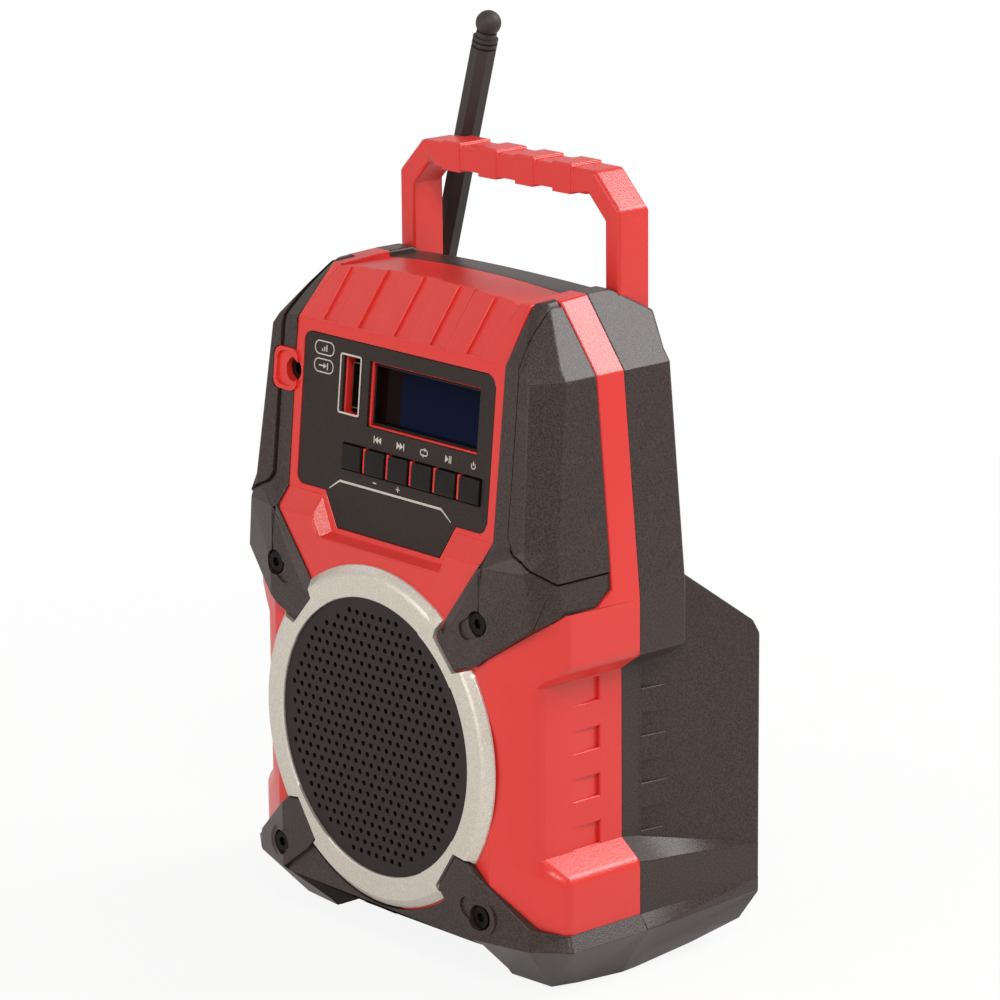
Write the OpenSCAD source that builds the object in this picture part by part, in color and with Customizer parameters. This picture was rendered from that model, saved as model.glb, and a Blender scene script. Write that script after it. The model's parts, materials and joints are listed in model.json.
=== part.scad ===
// Job-site radio: a red front shell and a grey rear shell joined at a seam plane,
// with corner guards, a bumper, one round speaker, a key panel, a handle and an aerial.
// Millimetres, +Z up, the front looks along -Y. Heights are taken from the ground and
// depths from the seam plane between the two shells.

/* [Body] */
// Width across the hips and the feet
body_w = 133; // [128:0.5:142]
// Width across the waist
waist_w = 118; // [112:0.5:121]
// Width across the shoulders
shoulder_w = 120.2; // [116:0.2:124]
// Width of the crown between its side slopes
crown_w = 90.4; // [88:0.2:93]
// Height of the crown at its edges
crown_z = 193.3; // [191:0.1:197]
// Rise of the crown's arch between its rims
crown_arch = 1.7; // [1:0.1:2.4]
// Height of the shoulders
shoulder_z = 174.2; // [172:0.2:176]
// Distance from the foot of the key panel's sides to the bevel below it
sill_gap = 1.7; // [0.2:0.25:2.7]
// Height of the hips, the widest line
hip_z = 111; // [109:0.5:113]
// Height where the waist starts to draw in
waist_top_z = 95; // [92:0.5:98]
// Height where the waist ends above the foot
waist_low_z = 35; // [32:0.5:38]
// Height of the waist's bevels
waist_slope = 5.3; // [3:0.1:7]
// Depth of the lower front face
front_d = 38.5; // [37.5:0.25:42]
// Depth of the front face at the shoulders
brow_d = 29.6; // [28.8:0.2:31]
// Depth of the hood's upper edge
hood_top_d = 17.2; // [16:0.1:19]
// Backward lean of the key panel in degrees
panel_tilt = 5.6; // [5:0.1:6.2]
// Depth of the rear face
rear_d = 23.5; // [23:0.25:26]
// Depth of the rear face at its side edges
rear_edge_d = 17.6; // [16.6:0.2:19]
// Wall of the shells
wall = 2.6; // [2:0.1:3]
// Width of the red stripe between guard and seam
stripe_w = 10; // [8:0.5:12]
// Depth of the hood's grooves
groove_depth = 0.9; // [0.5:0.1:1.4]
// Width of each hood groove
groove_w = 6.8; // [5:0.2:8]
// Distance between hood grooves
groove_pitch = 15.4; // [14.6:0.1:16]

/* [Battery bulge] */
// Depth of the bulge's rear face
bulge_d = 46.8; // [45:0.2:50]
// Height where the bulge's top slope starts
bulge_top_z = 116; // [114:0.5:118]
// Height of the bulge's rear upper corner
bulge_rear_z = 96; // [93:0.5:98]
// Width of the bay between the wings
bay_w = 78; // [74:0.5:84]
// Height of the bay's floor
bay_floor_z = 10; // [8:0.5:12]
// Width of the guide rib on each bay wall
rail_w = 3; // [2:0.1:4]
// Reach of the guide rib into the battery
rail_reach = 3; // [2:0.1:4]

/* [Guards and bumper] */
// Depth that the guards sink into the front shell
guard_seat = 1.6; // [1.2:0.1:2]
// How far the guard arms stand proud of the front face
arm_proud = 2.6; // [2.2:0.1:3]
// Run of the slope along the inner edge of the arms
arm_slope = 3.4; // [2.4:0.1:4]
// How far the guards' upper strip stands proud
strip_proud = 1; // [0.6:0.1:1.4]
// Step of the raised panel on each guard
panel_step = 0.7; // [0.4:0.1:1]
// Width of the line around the raised panel
line_w = 0.8; // [0.6:0.1:1.2]
// Width across the bumper's ledges
bumper_w = 139; // [137:0.5:148]
// Height of the bumper's ledges
ledge_z = 15.5; // [14:0.25:17]
// Width of the bumper's base
base_w = 117.6; // [112:0.4:122]
// Depth of the feet's front edge
foot_d = 23; // [20:0.5:26]
// Height of the hollow between the feet
foot_arch = 3.5; // [2.5:0.1:4.5]
// Distance between the screws on both sides
screw_span = 88; // [87:0.2:89.5]
// Height of the upper guard screws
screw_top_z = 107; // [106:0.2:108]
// Height of the bumper's screws
screw_low_z = 22.2; // [21.6:0.2:23]
// Radius of the screws' recesses
screw_well_r = 3.7; // [3.3:0.1:4]
// Reach of the shallow slot beside each recess
slot_run = 5; // [4:0.1:6]
// Depth of that slot
slot_depth = 0.6; // [0.4:0.1:0.8]

/* [Speaker] */
// Height of the speaker's centre
spk_z = 64.5; // [64:0.25:65.5]
// Outer radius of the trim ring
ring_r = 49.5; // [48.5:0.1:50.2]
// Inner radius of the trim ring
ring_in_r = 40.4; // [39.5:0.1:41.5]
// Height of the trim ring above the front face
ring_h = 2.8; // [2.4:0.1:3.2]
// Distance between the grille's holes
mesh_pitch = 3.4; // [3.3:0.1:4.5]
// Radius of the grille's holes
mesh_r = 0.8; // [0.5:0.02:0.9]
// Width of the plain edge around the grille's holes
mesh_margin = 3.5; // [3:0.1:5]
// Thickness of the grille
grille_t = 1.2; // [0.8:0.1:1.5]
// Radius of the driver's flange
flange_r = 44; // [43.5:0.1:45.5]
// Depth of the driver's basket
basket_h = 24; // [20:0.5:28]
// Radius of the magnet
magnet_r = 27; // [22:0.5:30]
// Thickness of the magnet
magnet_h = 11; // [8:0.5:13]

/* [Key panel] */
// Width of the faceplate
plate_w = 82; // [81:0.2:84]
// Height of the faceplate without its tab
plate_h = 44; // [43:0.2:45]
// Height of the tab at the plate's foot
tab_h = 10; // [9:0.2:11]
// Width of the tab where it starts
tab_w = 56.6; // [54:0.2:60]
// Thickness of the faceplate
plate_t = 0.9; // [0.8:0.1:1.6]
// Width of the display window
lcd_w = 47; // [45:0.2:48]
// Height of the display window
lcd_h = 18.6; // [17:0.2:19.2]
// Sideways place of the display window
lcd_x = 11.4; // [11:0.1:11.8]
// Width of the USB window
usb_w = 7.8; // [7.6:0.1:8.2]
// Height of the USB window
usb_h = 17; // [16:0.2:17.6]
// Sideways place of the USB window
usb_x = -19.4; // [-20:0.1:-19]
// Distance of the windows below the plate's top edge
window_top = 4.4; // [3.8:0.1:5]
// Width of a key
key_w = 8.5; // [8.2:0.1:8.8]
// Height of a key
key_h = 7.1; // [6.6:0.1:7.4]
// Distance between keys
key_pitch = 10.1; // [9.9:0.1:10.4]
// Sideways place of the row of keys
key_x = 8.2; // [7.6:0.1:8.8]
// Distance of the keys below the plate's top edge
key_top = 29.4; // [28.6:0.2:30.2]
// How far a key stands proud of the front shell's panel plane
key_proud = 0.8; // [0.4:0.1:1.2]
// Travel of a key
key_travel = 0.6; // [0.4:0.05:0.8]
// Width of the red rib between two keys
key_rib = 0.9; // [0.7:0.05:1]
// Thickness of the bed behind the faceplate
bed_t = 2.6; // [2.2:0.1:3]
// Width of a key's switch
switch_w = 6; // [5.4:0.1:6.6]
// Height of a key's switch
switch_h = 4; // [3.6:0.1:4.4]
// Distance of the key board behind the faceplate's front
board_back = 11; // [10.4:0.1:12]
// Radius of the aux plug's bore
aux_r = 1.8; // [1.76:0.01:1.9]
// Outer radius of the aux bush
aux_bush_r = 3.4; // [3:0.1:3.6]
// Depth of the aux bore
aux_depth = 14; // [13:0.5:16]
// Distance of the aux bore below the plate's top edge
aux_top = 12.2; // [11.8:0.1:12.6]
// Distance of the aux bore from the faceplate's side
aux_gap = 4.2; // [4:0.1:5]

/* [Main board] */
// Width between the main board's screws
board_screw_w = 66; // [62:0.5:70]
// Height between the main board's screws
board_screw_h = 36; // [32:0.5:38]
// Margin of the main board around its screws
board_margin = 4.5; // [4:0.1:5]
// Radius of a capacitor on the main board
capacitor_r = 4; // [3:0.1:4.4]
// Height of a capacitor on the main board
capacitor_h = 9; // [7:0.1:10]
// Width of the finned cooler on the main board
cooler_w = 20; // [16:0.5:22]
// Height of the finned cooler
cooler_h = 8; // [6:0.1:9]
// Length of the chip on the main board
chip_w = 14; // [10:0.5:15]

/* [Handle] */
// Width across the handle's legs
handle_w = 93; // [92:0.2:96]
// Height of the handle's top
handle_z = 224.8; // [222:0.2:232]
// Thickness of the legs
leg_t = 5.9; // [5.4:0.1:6.6]
// Thickness of the grip
grip_t = 6.9; // [6:0.1:8]
// Depth of the handle's section
handle_d = 11.1; // [9:0.1:11.4]
// Distance of the handle behind the seam
handle_y = 10.9; // [10.2:0.1:11.2]
// Width of the handle's corner slopes
handle_slope = 10; // [8:0.2:12]
// Length of each leg inside the rear shell
leg_depth = 22; // [18:0.5:26]
// Height of the grip's finger pads
pad_h = 0.8; // [0.4:0.1:1.2]
// Length of each finger pad
pad_l = 7.6; // [6:0.2:9]
// Distance between finger pads
pad_pitch = 15.6; // [14.6:0.2:16.6]

/* [Aerial] */
// Lean of the aerial at rest, to the right, in degrees
aerial_lean = 16.4; // [5:0.2:20]
// Length of the aerial from its pivot
aerial_l = 96.8; // [85:0.2:100]
// Width of the aerial's body across its flats
aerial_w = 7.6; // [7:0.1:8.4]
// Distance of the aerial's middle behind the seam
aerial_y = 28.4; // [28.2:0.1:30]
// Sideways place of the aerial's pivot
pivot_x = -53.2; // [-54:0.2:-52]
// Height of the aerial's pivot
pivot_z = 168; // [165:0.5:170]
// Radius of the pivot pin
pivot_r = 2; // [1.8:0.05:2.4]
// Radius of the aerial's knuckle
knuckle_r = 5.2; // [4.8:0.1:6]

/* [Battery] */
// Height of the battery pack
pack_h = 82; // [70:0.5:84]
// Depth of the battery pack behind the bay wall
pack_d = 26; // [24:0.5:30]
// Width of the release key on the battery
release_w = 30; // [24:0.5:36]
// Height of the release key
release_h = 14; // [10:0.5:18]
// Travel of the release key
release_travel = 2.5; // [1.5:0.1:3]

/* [Fits] */
// Gap between fixed pieces
fit = 0.1; // [0.06:0.01:0.15]
// Gap around moving pieces
play = 0.3; // [0.25:0.01:0.35]
// Radial gap of the aerial's pin
run_gap = 0.05; // [0.03:0.01:0.08]
// Radius of a screw's shank
shank_r = 1.5; // [1.3:0.05:1.6]
// Radius of a screw's head
head_r = 3; // [2.6:0.1:3.2]
// Height of a screw's head
head_h = 2.2; // [1.8:0.1:2.5]

/* [Hidden] */
$fn = 48;

red = "#c8322c";
grey = "#47403d";
black = "#26221f";
steel = "#a9a8a4";
far = 300;

// The two shells share these half outlines, named from the front's middle to the rear:
// nose, cheek, side and the two ends of the rear bevel.
side_drop = shoulder_w / 2 - crown_w / 2;
crown_rise = crown_z - shoulder_z;
brow_rise = 3.1;
brow_z = shoulder_z + brow_rise;
hood_top_z = crown_z;
top_z = crown_z + 4;
rear_flat_x = 42;
frame_x = plate_w / 2 + 3.5;
function slope_x(z) = crown_w / 2 + side_drop * (crown_z - z) / crown_rise;
function panel_d(z) = brow_d + (shoulder_z - z) * tan(panel_tilt);
function flank_x(z) = shoulder_w / 2 + (body_w - shoulder_w) / 2 * (shoulder_z - z) / (shoulder_z - hip_z);
hood_run = (panel_d(brow_z) - hood_top_d) / (hood_top_z - brow_z);
top_d = hood_top_d - hood_run * (top_z - hood_top_z);
function half(side, face, run, nose, cut, nose_x) = [
    [nose_x, -face], [side - cut, -(face - nose)], [side, -(face - run)],
    [side, rear_edge_d], [rear_flat_x, rear_d]
];
sill_z = shoulder_z - plate_h - sill_gap;
sill_low_z = sill_z - 5.5;
floor_z = 9;
foot_z = ledge_z + 3.8;
function body_halves(d) = [
    [floor_z, half(base_w / 2 - 1.2, foot_d + 2, 8, 1.5, 4, 40)],
    [ledge_z - fit, half(body_w / 2 - 1, front_d, 11.5, 6, 7.6, 46.5)],
    [foot_z, half(body_w / 2, front_d, 11.5, 6, 7.6, 46.5)],
    [waist_low_z, half(body_w / 2, front_d, 11.5, 6, 7.6, 46.5)],
    [waist_low_z + waist_slope, half(waist_w / 2, front_d, 8.2, 2.2, 6.8, 46.5)],
    [waist_top_z - waist_slope, half(waist_w / 2, front_d, 8.2, 2.2, 6.8, 46.5)],
    [waist_top_z, half(body_w / 2, front_d, 11.3, 5.8, 7.8, 46.5)],
    [hip_z, half(body_w / 2, front_d, 11.3, 5.8, 7.8, 46.5)],
    [sill_low_z, half(flank_x(sill_low_z), front_d, 10.5, 2.5, 6, frame_x + 1)],
    [sill_z, half(flank_x(sill_z), panel_d(sill_z), 5.5, 0.4, 6.5, frame_x)],
    [shoulder_z, half(shoulder_w / 2, brow_d, 8.4, 0.4, 5, frame_x)],
    [brow_z, half(slope_x(brow_z), panel_d(brow_z), 8.8, 0.6, 5, frame_x)],
    [top_z, half(slope_x(top_z), top_d, 0.9 + 1.2 * d, 0.3 + 0.4 * d, 1.2 + d, slope_x(top_z) - 5 - 2 * d)]
];

// Outer faces of the guards: flush with the shell at the stripe, proud at the front.
knee_z = screw_top_z;
elbow_z = sill_z - 4.5;
guard_halves = [
    [hip_z - 26, half(body_w / 2, front_d + arm_proud, 14, 5, 4.2, 46)],
    [knee_z, half(body_w / 2, front_d + arm_proud, 14, 5, 4.2, 46)],
    [sill_low_z, half(flank_x(sill_low_z), front_d + arm_proud - 0.7, 11.4, 3.4, 5.6, 46)],
    [sill_z + 0.8, half(flank_x(sill_z + 0.8), panel_d(sill_z + 0.8) + strip_proud, 6.2, -0.2, 6.6, 46)],
    [shoulder_z, half(shoulder_w / 2, brow_d + strip_proud, 9.2, 0.3, 5, 46)],
    [brow_z, half(slope_x(brow_z), panel_d(brow_z) + strip_proud, 9.2, 0.5, 5, 46)],
    [top_z, half(slope_x(top_z), top_d + strip_proud, 3, 0.8, 3, slope_x(top_z) - 8)]
];

// The bulge behind the seam, from the ground to its sloping top.
bulge_top_d = bulge_d - 2.2;
function slant_x(y) = waist_w / 2 + (body_w - waist_w) / 2 * (y - 5.5) / (bulge_d - 5.5);
function bulge_halves(front) = [
    [0, [[base_w / 2, front], [base_w / 2 - 0.4, 5.5], [base_w / 2 - 4.2, bulge_d - 15.8]]],
    [ledge_z * 0.45, [[body_w / 2 - 3, front], [body_w / 2 - 3.2, 5.5], [body_w / 2 - 3.5, bulge_d - 4.8]]],
    [ledge_z, [[bumper_w / 2, front], [bumper_w / 2 - 0.3, 5.5], [body_w / 2, bulge_d]]],
    [foot_z, [[body_w / 2, front], [body_w / 2, 5.5], [body_w / 2, bulge_d]]],
    [waist_low_z, [[body_w / 2, front], [body_w / 2, 5.5, -0.8], [body_w / 2, bulge_d, -6.2]]],
    [waist_low_z + waist_slope, [[waist_w / 2, front], [waist_w / 2, 5.5, -1], [body_w / 2, bulge_d, -10.6]]],
    [bulge_rear_z - 4, [[waist_w / 2, front], [waist_w / 2, 5.5], [body_w / 2, bulge_d]]],
    [bulge_rear_z, [[waist_w / 2, front], [waist_w / 2, 5.5], [slant_x(bulge_top_d), bulge_top_d]]],
    [bulge_top_z, [[waist_w / 2, front], [waist_w / 2, 5.5], [slant_x(rear_edge_d), rear_edge_d]]]
];

// Outer faces of the bumper, from the ground to the ledge.
arm_y = -front_d - arm_proud;
arm_lift = arm_proud - panel_step;
bumper_halves = [
    [0, [[36, -foot_d - 0.9], [base_w / 2 - 4.8, -foot_d + 0.7], [base_w / 2 - 2.4, -foot_d + 8.5],
        [base_w / 2, 0]]],
    [ledge_z, [[42, arm_y], [bumper_w / 2 - 9.9, arm_y + 5.6], [bumper_w / 2, arm_y + 12.7],
        [bumper_w / 2, 0]]],
    [foot_z, [[42, arm_y], [body_w / 2 - 7.3, arm_y + 5.6], [body_w / 2 + 0.3, arm_y + 14.1],
        [body_w / 2 + 0.3, 0]]]
];

// A closed outline moved inwards by d, with mitred corners. Outlines run anticlockwise.
function unit(v) = v / norm(v);
function inward(a, b) = unit([a[1] - b[1], b[0] - a[0]]);
function inset(p, d) = let (n = len(p)) [
    for (i = [0:n - 1]) let (
        before = inward(p[(i + n - 1) % n], p[i]),
        after = inward(p[i], p[(i + 1) % n])
    ) p[i] + d * (before + after) / (1 + before * after)
];
function both_sides(h) = concat(h, [for (i = [len(h) - 1:-1:0]) [-h[i][0], h[i][1], lift_of(h[i])]]);
function lift_of(p) = len(p) > 2 ? p[2] : 0;
function level(h, z, d) = let (whole = both_sides(h), moved = inset([for (p = whole) [p[0], p[1]]], d)) [
    for (i = [0:len(whole) - 1]) [moved[i][0], moved[i][1], z + lift_of(whole[i])]
];

// A solid through level rings that have the same number of points. The left half's
// triangles mirror the right half's.
right_split = [[[0, 0], [1, 0], [1, 1]], [[0, 0], [1, 1], [0, 1]]];
left_split = [[[0, 0], [1, 0], [0, 1]], [[0, 1], [1, 0], [1, 1]]];
module loft(rings) {
    n = len(rings[0]);
    m = len(rings);
    polyhedron(
        points = [for (r = rings) for (p = r) p],
        faces = concat(
            [[for (j = [0:n - 1]) j]],
            [[for (j = [n - 1:-1:0]) (m - 1) * n + j]],
            [for (i = [0:m - 2]) for (j = [0:n - 1])
                for (tri = j < n / 2 ? right_split : left_split)
                    [for (c = tri) (i + c[0]) * n + (j + c[1]) % n]]
        ),
        convexity = 6
    );
}

module loft_halves(halves, d) {
    last = len(halves) - 1;
    loft([for (i = [0:last]) let (lift = i == 0 ? d : i == last ? -d : 0)
        level(halves[i][1], halves[i][0] + lift, d)]);
}

// The crown: a shallow arch along the depth, two rims beside it and a slope to the rear.
rim_x = 38.5;
rim_drop = 1.1;
crown_flat_d = 9;
crown_slope = 30;
arch_steps = 6;
function arch_fall(x) = crown_arch * x * x / (rim_x * rim_x);
function arch_line(d) = [for (i = [-arch_steps - 1:arch_steps + 1])
    let (x = -i * (rim_x + d) / arch_steps) [x, crown_z - d - arch_fall(x)]];
module under_crown(d) {
    slope_z = crown_z - d - (far - crown_flat_d) * tan(crown_slope);
    intersection() {
        union() {
            through_depth(concat([[-rim_x - 9, 0], [rim_x + 9, 0]], arch_line(d)), -far, far);
            for (side = [0, 1]) mirror([side, 0, 0]) crown_rim(d);
        }
        across_width([[-far, -far], [far, -far], [far, slope_z], [crown_flat_d, crown_z - d],
            [-far, crown_z + far - d]], 2 * far);
    }
}

module crown_rim(d) {
    translate([rim_x + d, 0, 0]) rotate([90, 0, 90]) linear_extrude(far) polygon([
        [-far, -far], [far, -far], [far, crown_z - d], [0, crown_z - d],
        [-far, crown_z - d - far * rim_drop / hood_top_d]
    ]);
}

module body(d) {
    intersection() {
        loft_halves(body_halves(max(d, 0)), d);
        under_crown(d);
    }
}

module before_seam(at = 0) {
    translate([-far, -far + at, -far]) cube([2 * far, far, 2 * far]);
}

module behind_seam(at = 0) {
    translate([-far, at, -far]) cube([2 * far, far, 2 * far]);
}

module above_bulge(at) {
    translate([-far, at, waist_top_z - waist_slope + 0.3]) cube([2 * far, far, far]);
}

// An outline in the front view, drawn through the depth between two planes.
module through_depth(outline, near_y, far_y) {
    translate([0, far_y, 0]) rotate([90, 0, 0]) linear_extrude(far_y - near_y) polygon(outline);
}

// An outline in the side view, drawn across the width.
module across_width(outline, width) {
    translate([-width / 2, 0, 0]) rotate([90, 0, 90]) linear_extrude(width) polygon(outline);
}

// Work on the faceplate: x across, y up the plate, z out of it, from its top edge.
plate_top_z = shoulder_z;
module on_plate(depth = 0) {
    translate([0, -panel_d(plate_top_z), plate_top_z])
        rotate([90 - panel_tilt, 0, 0]) translate([0, 0, depth]) children();
}

// A rectangle with round corners, its middle at the origin.
module round_rect(w, h, r) {
    square([w - 2 * r, h], center = true);
    square([w, h - 2 * r], center = true);
    for (x = [-1, 1]) for (y = [-1, 1])
        translate([x * (w / 2 - r), y * (h / 2 - r)]) circle(r);
}

plate_tab = [
    [-tab_w / 2 + 6, -plate_h - tab_h], [tab_w / 2 - 6, -plate_h - tab_h], [tab_w / 2, -plate_h],
    [tab_w / 2, -plate_h + 5], [-tab_w / 2, -plate_h + 5], [-tab_w / 2, -plate_h]
];
plate_corner = 3;
module plate_shape(grow) {
    translate([0, -plate_h / 2]) round_rect(plate_w + 2 * grow, plate_h + 2 * grow, plate_corner + grow);
    polygon(inset(plate_tab, -grow));
}
plate_sunk = 0.3;
bed_front = plate_t + plate_sunk;
bed_back = bed_front + bed_t;
function key_place(i) = key_x + (i - 2.5) * key_pitch;
key_mid_y = -key_top - key_h / 2;
lcd_y = -window_top - lcd_h / 2;
usb_y = -window_top - usb_h / 2;
key_slot_w = 5 * key_pitch + key_w + 2 * play;

// The guards' front outline: strip beside the plate, then the arm down to the ring.
arm_tip_x = 27.4;
guard_edge = [
    [arm_tip_x, screw_top_z - 7], [arm_tip_x + 7.4, screw_top_z - 15.3],
    [screw_span / 2 - 1, screw_top_z - 12.6],
    [body_w / 2 - 3.6, hip_z - 2.2], [body_w / 2, hip_z + 0.8], [far, hip_z + 0.8], [far, far],
    [slope_x(far), far], [frame_x - 3.5, top_z + 2], [frame_x, brow_z], [frame_x - 0.3, elbow_z],
    [arm_tip_x + 2.4, screw_top_z - 1.4]
];
guard_side = [
    [-far, 0], [-stripe_w - 6, 0], [-stripe_w - 6, hip_z],
    [-stripe_w, hip_z + 4.5], [-stripe_w, far], [-far, far]
];
raised_edge = [
    [frame_x + 13.8, elbow_z + 2.5], [body_w / 2 - 1.5, hip_z + 9.5], [far, hip_z + 8.5], [far, far],
    [frame_x + 1.5, far], [frame_x + 1.5, crown_z], [frame_x + 6.5, brow_z - 1.8],
    [frame_x + 6.5, elbow_z + 7.5], [frame_x + 8.5, elbow_z + 4.8]
];
module guard_zone(gap) {
    intersection() {
        through_depth(inset(guard_edge, gap), -far, 0);
        across_width(inset(guard_side, gap), 2 * far);
        translate([0, -far, 0]) cube(far * 2);
    }
}

aux_x = plate_w / 2 + aux_gap;
scoop_z = plate_top_z - aux_top * cos(panel_tilt);
scoop_w = 11;
scoop_h = 12.4;
scoop_x = -aux_x - 3;
scoop_floor = panel_d(scoop_z) - 2.4;
module scoop_block(gap, depth) {
    translate([scoop_x, -depth, scoop_z]) rotate([90, 0, 0])
        linear_extrude(far) round_rect(scoop_w - 2 * gap, scoop_h - 2 * gap, 3);
}

// Screws run along Y: the guards' from the front, the shells' from the rear.
guard_floor = 1.2;
guard_head_y = -(front_d - guard_seat) - guard_floor;
guard_head_h = 1.6;
guard_screw_l = 9;
spigot_r = screw_well_r + 1.9;
guard_boss_r = shank_r + 2.4;
module at_guard_screws() {
    for (side = [-1, 1]) for (z = [screw_top_z, screw_low_z])
        translate([side * screw_span / 2, 0, z]) children();
}

// Posts for the long screws that hold the two shells together.
post_r = shank_r + 2.5;
shell_posts = [[54, sill_z - 2], [29, crown_z - 13], [34, screw_low_z + 4.8]];
shell_screw_l = 32;
module at_posts() {
    for (side = [-1, 1]) for (i = [0:2])
        translate([side * shell_posts[i][0], 0, shell_posts[i][1]]) children();
}
function rear_at(x) = abs(x) < rear_flat_x ? rear_d
    : rear_d - (rear_d - rear_edge_d) * (abs(x) - rear_flat_x) / (flank_x(sill_z) - rear_flat_x);

speaker_in_y = -(front_d - wall - guard_seat);
module speaker_axis(y) {
    translate([0, y, spk_z]) rotate([90, 0, 0]) children();
}
cone_hole_r = flange_r - 6;
driver_screw_r = flange_r - 2.6;
module at_driver_screws() {
    for (a = [0, 90, 180, 270]) rotate(a) translate([driver_screw_r, 0, 0]) children();
}

module hood_grooves() {
    lean = atan(hood_run);
    for (i = [-2:2])
        translate([i * groove_pitch - groove_w / 2, -panel_d(brow_z), brow_z]) rotate([-lean, 0, 0])
            translate([0, -5, 1.2]) cube([groove_w, 5 + groove_depth, far / 4]);
}

pocket_pitch = 13.9;
pocket_h = 6.6;
pocket_t = 1.2;
pocket_z = waist_top_z - waist_slope - 7.4;
module waist_pockets(outline) {
    for (side = [0, 1]) mirror([side, 0, 0]) for (i = [0:3])
        translate([0, 0, pocket_z - i * pocket_pitch]) linear_extrude(pocket_h) polygon(outline);
}

module front_housing() {
    color(red) difference() {
        union() {
            intersection() {
                difference() {
                    body(0);
                    difference() {
                        body(wall + guard_seat);
                        on_plate(-bed_back) translate([-plate_w / 2 - 6, -plate_h - tab_h - 4, 0])
                            cube([plate_w + 12, plate_h + tab_h + 8, far / 6]);
                    }
                }
                before_seam();
            }
            intersection() {
                body(wall);
                union() {
                    at_guard_screws() rotate([90, 0, 0])
                        translate([0, 0, front_d - guard_screw_l - 3])
                            cylinder(r = guard_boss_r, h = guard_screw_l + 3);
                    for (side = [-1, 1]) for (i = [0:2])
                        translate([side * shell_posts[i][0], 0, shell_posts[i][1]])
                            rotate([90, 0, 0]) cylinder(r = post_r, h = front_d);
                }
                before_seam();
            }
            intersection() {
                difference() {
                    scoop_block(fit, scoop_floor - wall - 4);
                    scoop_block(1.2, scoop_floor);
                }
                loft_halves(guard_halves, 0.2);
            }
        }
        difference() {
            for (side = [0, 1]) mirror([side, 0, 0]) guard_zone(0);
            body(guard_seat);
            scoop_block(fit, 0);
        }
        on_plate(-bed_front) linear_extrude(far / 6) plate_shape(fit);
        tab_bevel();
        panel_windows();
        at_guard_low() rotate([90, 0, 0]) translate([0, 0, front_d - guard_seat])
            cylinder(r = spigot_r, h = far);
        speaker_axis(0) cylinder(r = cone_hole_r, h = far);
        speaker_axis(speaker_in_y + 1) at_driver_screws() cylinder(r = shank_r + fit, h = 3);
        at_guard_screws() rotate([90, 0, 0])
            translate([0, 0, front_d - guard_screw_l - 2]) cylinder(r = shank_r + fit, h = far);
        at_posts() rotate([90, 0, 0]) translate([0, 0, -1])
            cylinder(r = shank_r + fit, h = shell_screw_l - rear_edge_d + 4);
        translate([-aux_x, 0, scoop_z]) rotate([90, 0, 0]) cylinder(r = aux_bush_r + fit, h = far);
        hood_grooves();
        waist_pockets([[waist_w / 2 - pocket_t, -8.3], [waist_w / 2 + 1, -8.3], [waist_w / 2 + 0.1, -21]]);
    }
}

// The bevel around the faceplate's tab, from the plate's face out to the lower front face.
module tab_bevel() {
    rise = front_d - panel_d(sill_z - tab_h);
    foot_y = -plate_h - tab_h;
    on_plate(0) hull() {
        translate([0, 0, 0]) linear_extrude(0.01)
            polygon([[-tab_w / 2 - 2, -plate_h], [-tab_w / 2 + 4, foot_y - 1.5],
                [tab_w / 2 - 4, foot_y - 1.5], [tab_w / 2 + 2, -plate_h]]);
        translate([0, 0, rise + 2]) linear_extrude(0.01)
            polygon([[-tab_w / 2 - 3.6, -plate_h], [-tab_w / 2 + 1, foot_y - 4.6],
                [tab_w / 2 - 1, foot_y - 4.6], [tab_w / 2 + 3.6, -plate_h]]);
    }
}

// Openings in the bed behind the faceplate, with ribs left between the keys,
// and shallow seats behind it for the display's lens and the keys' flanges.
module panel_windows() {
    on_plate(-far / 8) {
        translate([lcd_x, lcd_y, 0]) linear_extrude(far / 4) square([lcd_w - 1, lcd_h - 1], center = true);
        translate([usb_x, usb_y, 0]) linear_extrude(far / 4)
            square([usb_w - 0.6, usb_h - 0.6], center = true);
        for (i = [0:5]) translate([key_place(i), key_mid_y, 0])
            linear_extrude(far / 4) square([key_w + 2 * play, key_h + 2 * play], center = true);
    }
    on_plate(-bed_back - 2) linear_extrude(2) {
        translate([lcd_x, lcd_y])
            square([lcd_w + 2 * lens_rim + 2 * fit, lcd_h + 2 * lens_rim + 2 * fit], center = true);
        translate([key_x, key_mid_y]) square([6 * key_pitch, key_h + 1.6 + 2 * play], center = true);
    }
}

module key_ribs() {
    on_plate(-bed_back) for (i = [0:4])
        translate([key_place(i) + key_pitch / 2 - key_rib / 2, key_mid_y - key_h / 2, 0])
            cube([key_rib, key_h, bed_back]);
}

leg_x = handle_w / 2 - leg_t;
module leg_space(gap, low) {
    for (side = [-1, 1]) translate([side * (leg_x + leg_t / 2), handle_y + handle_d / 2, low])
        linear_extrude(far) square([leg_t + 2 * gap, handle_d + 2 * gap], center = true);
}
leg_low_z = crown_z - leg_depth;

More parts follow.
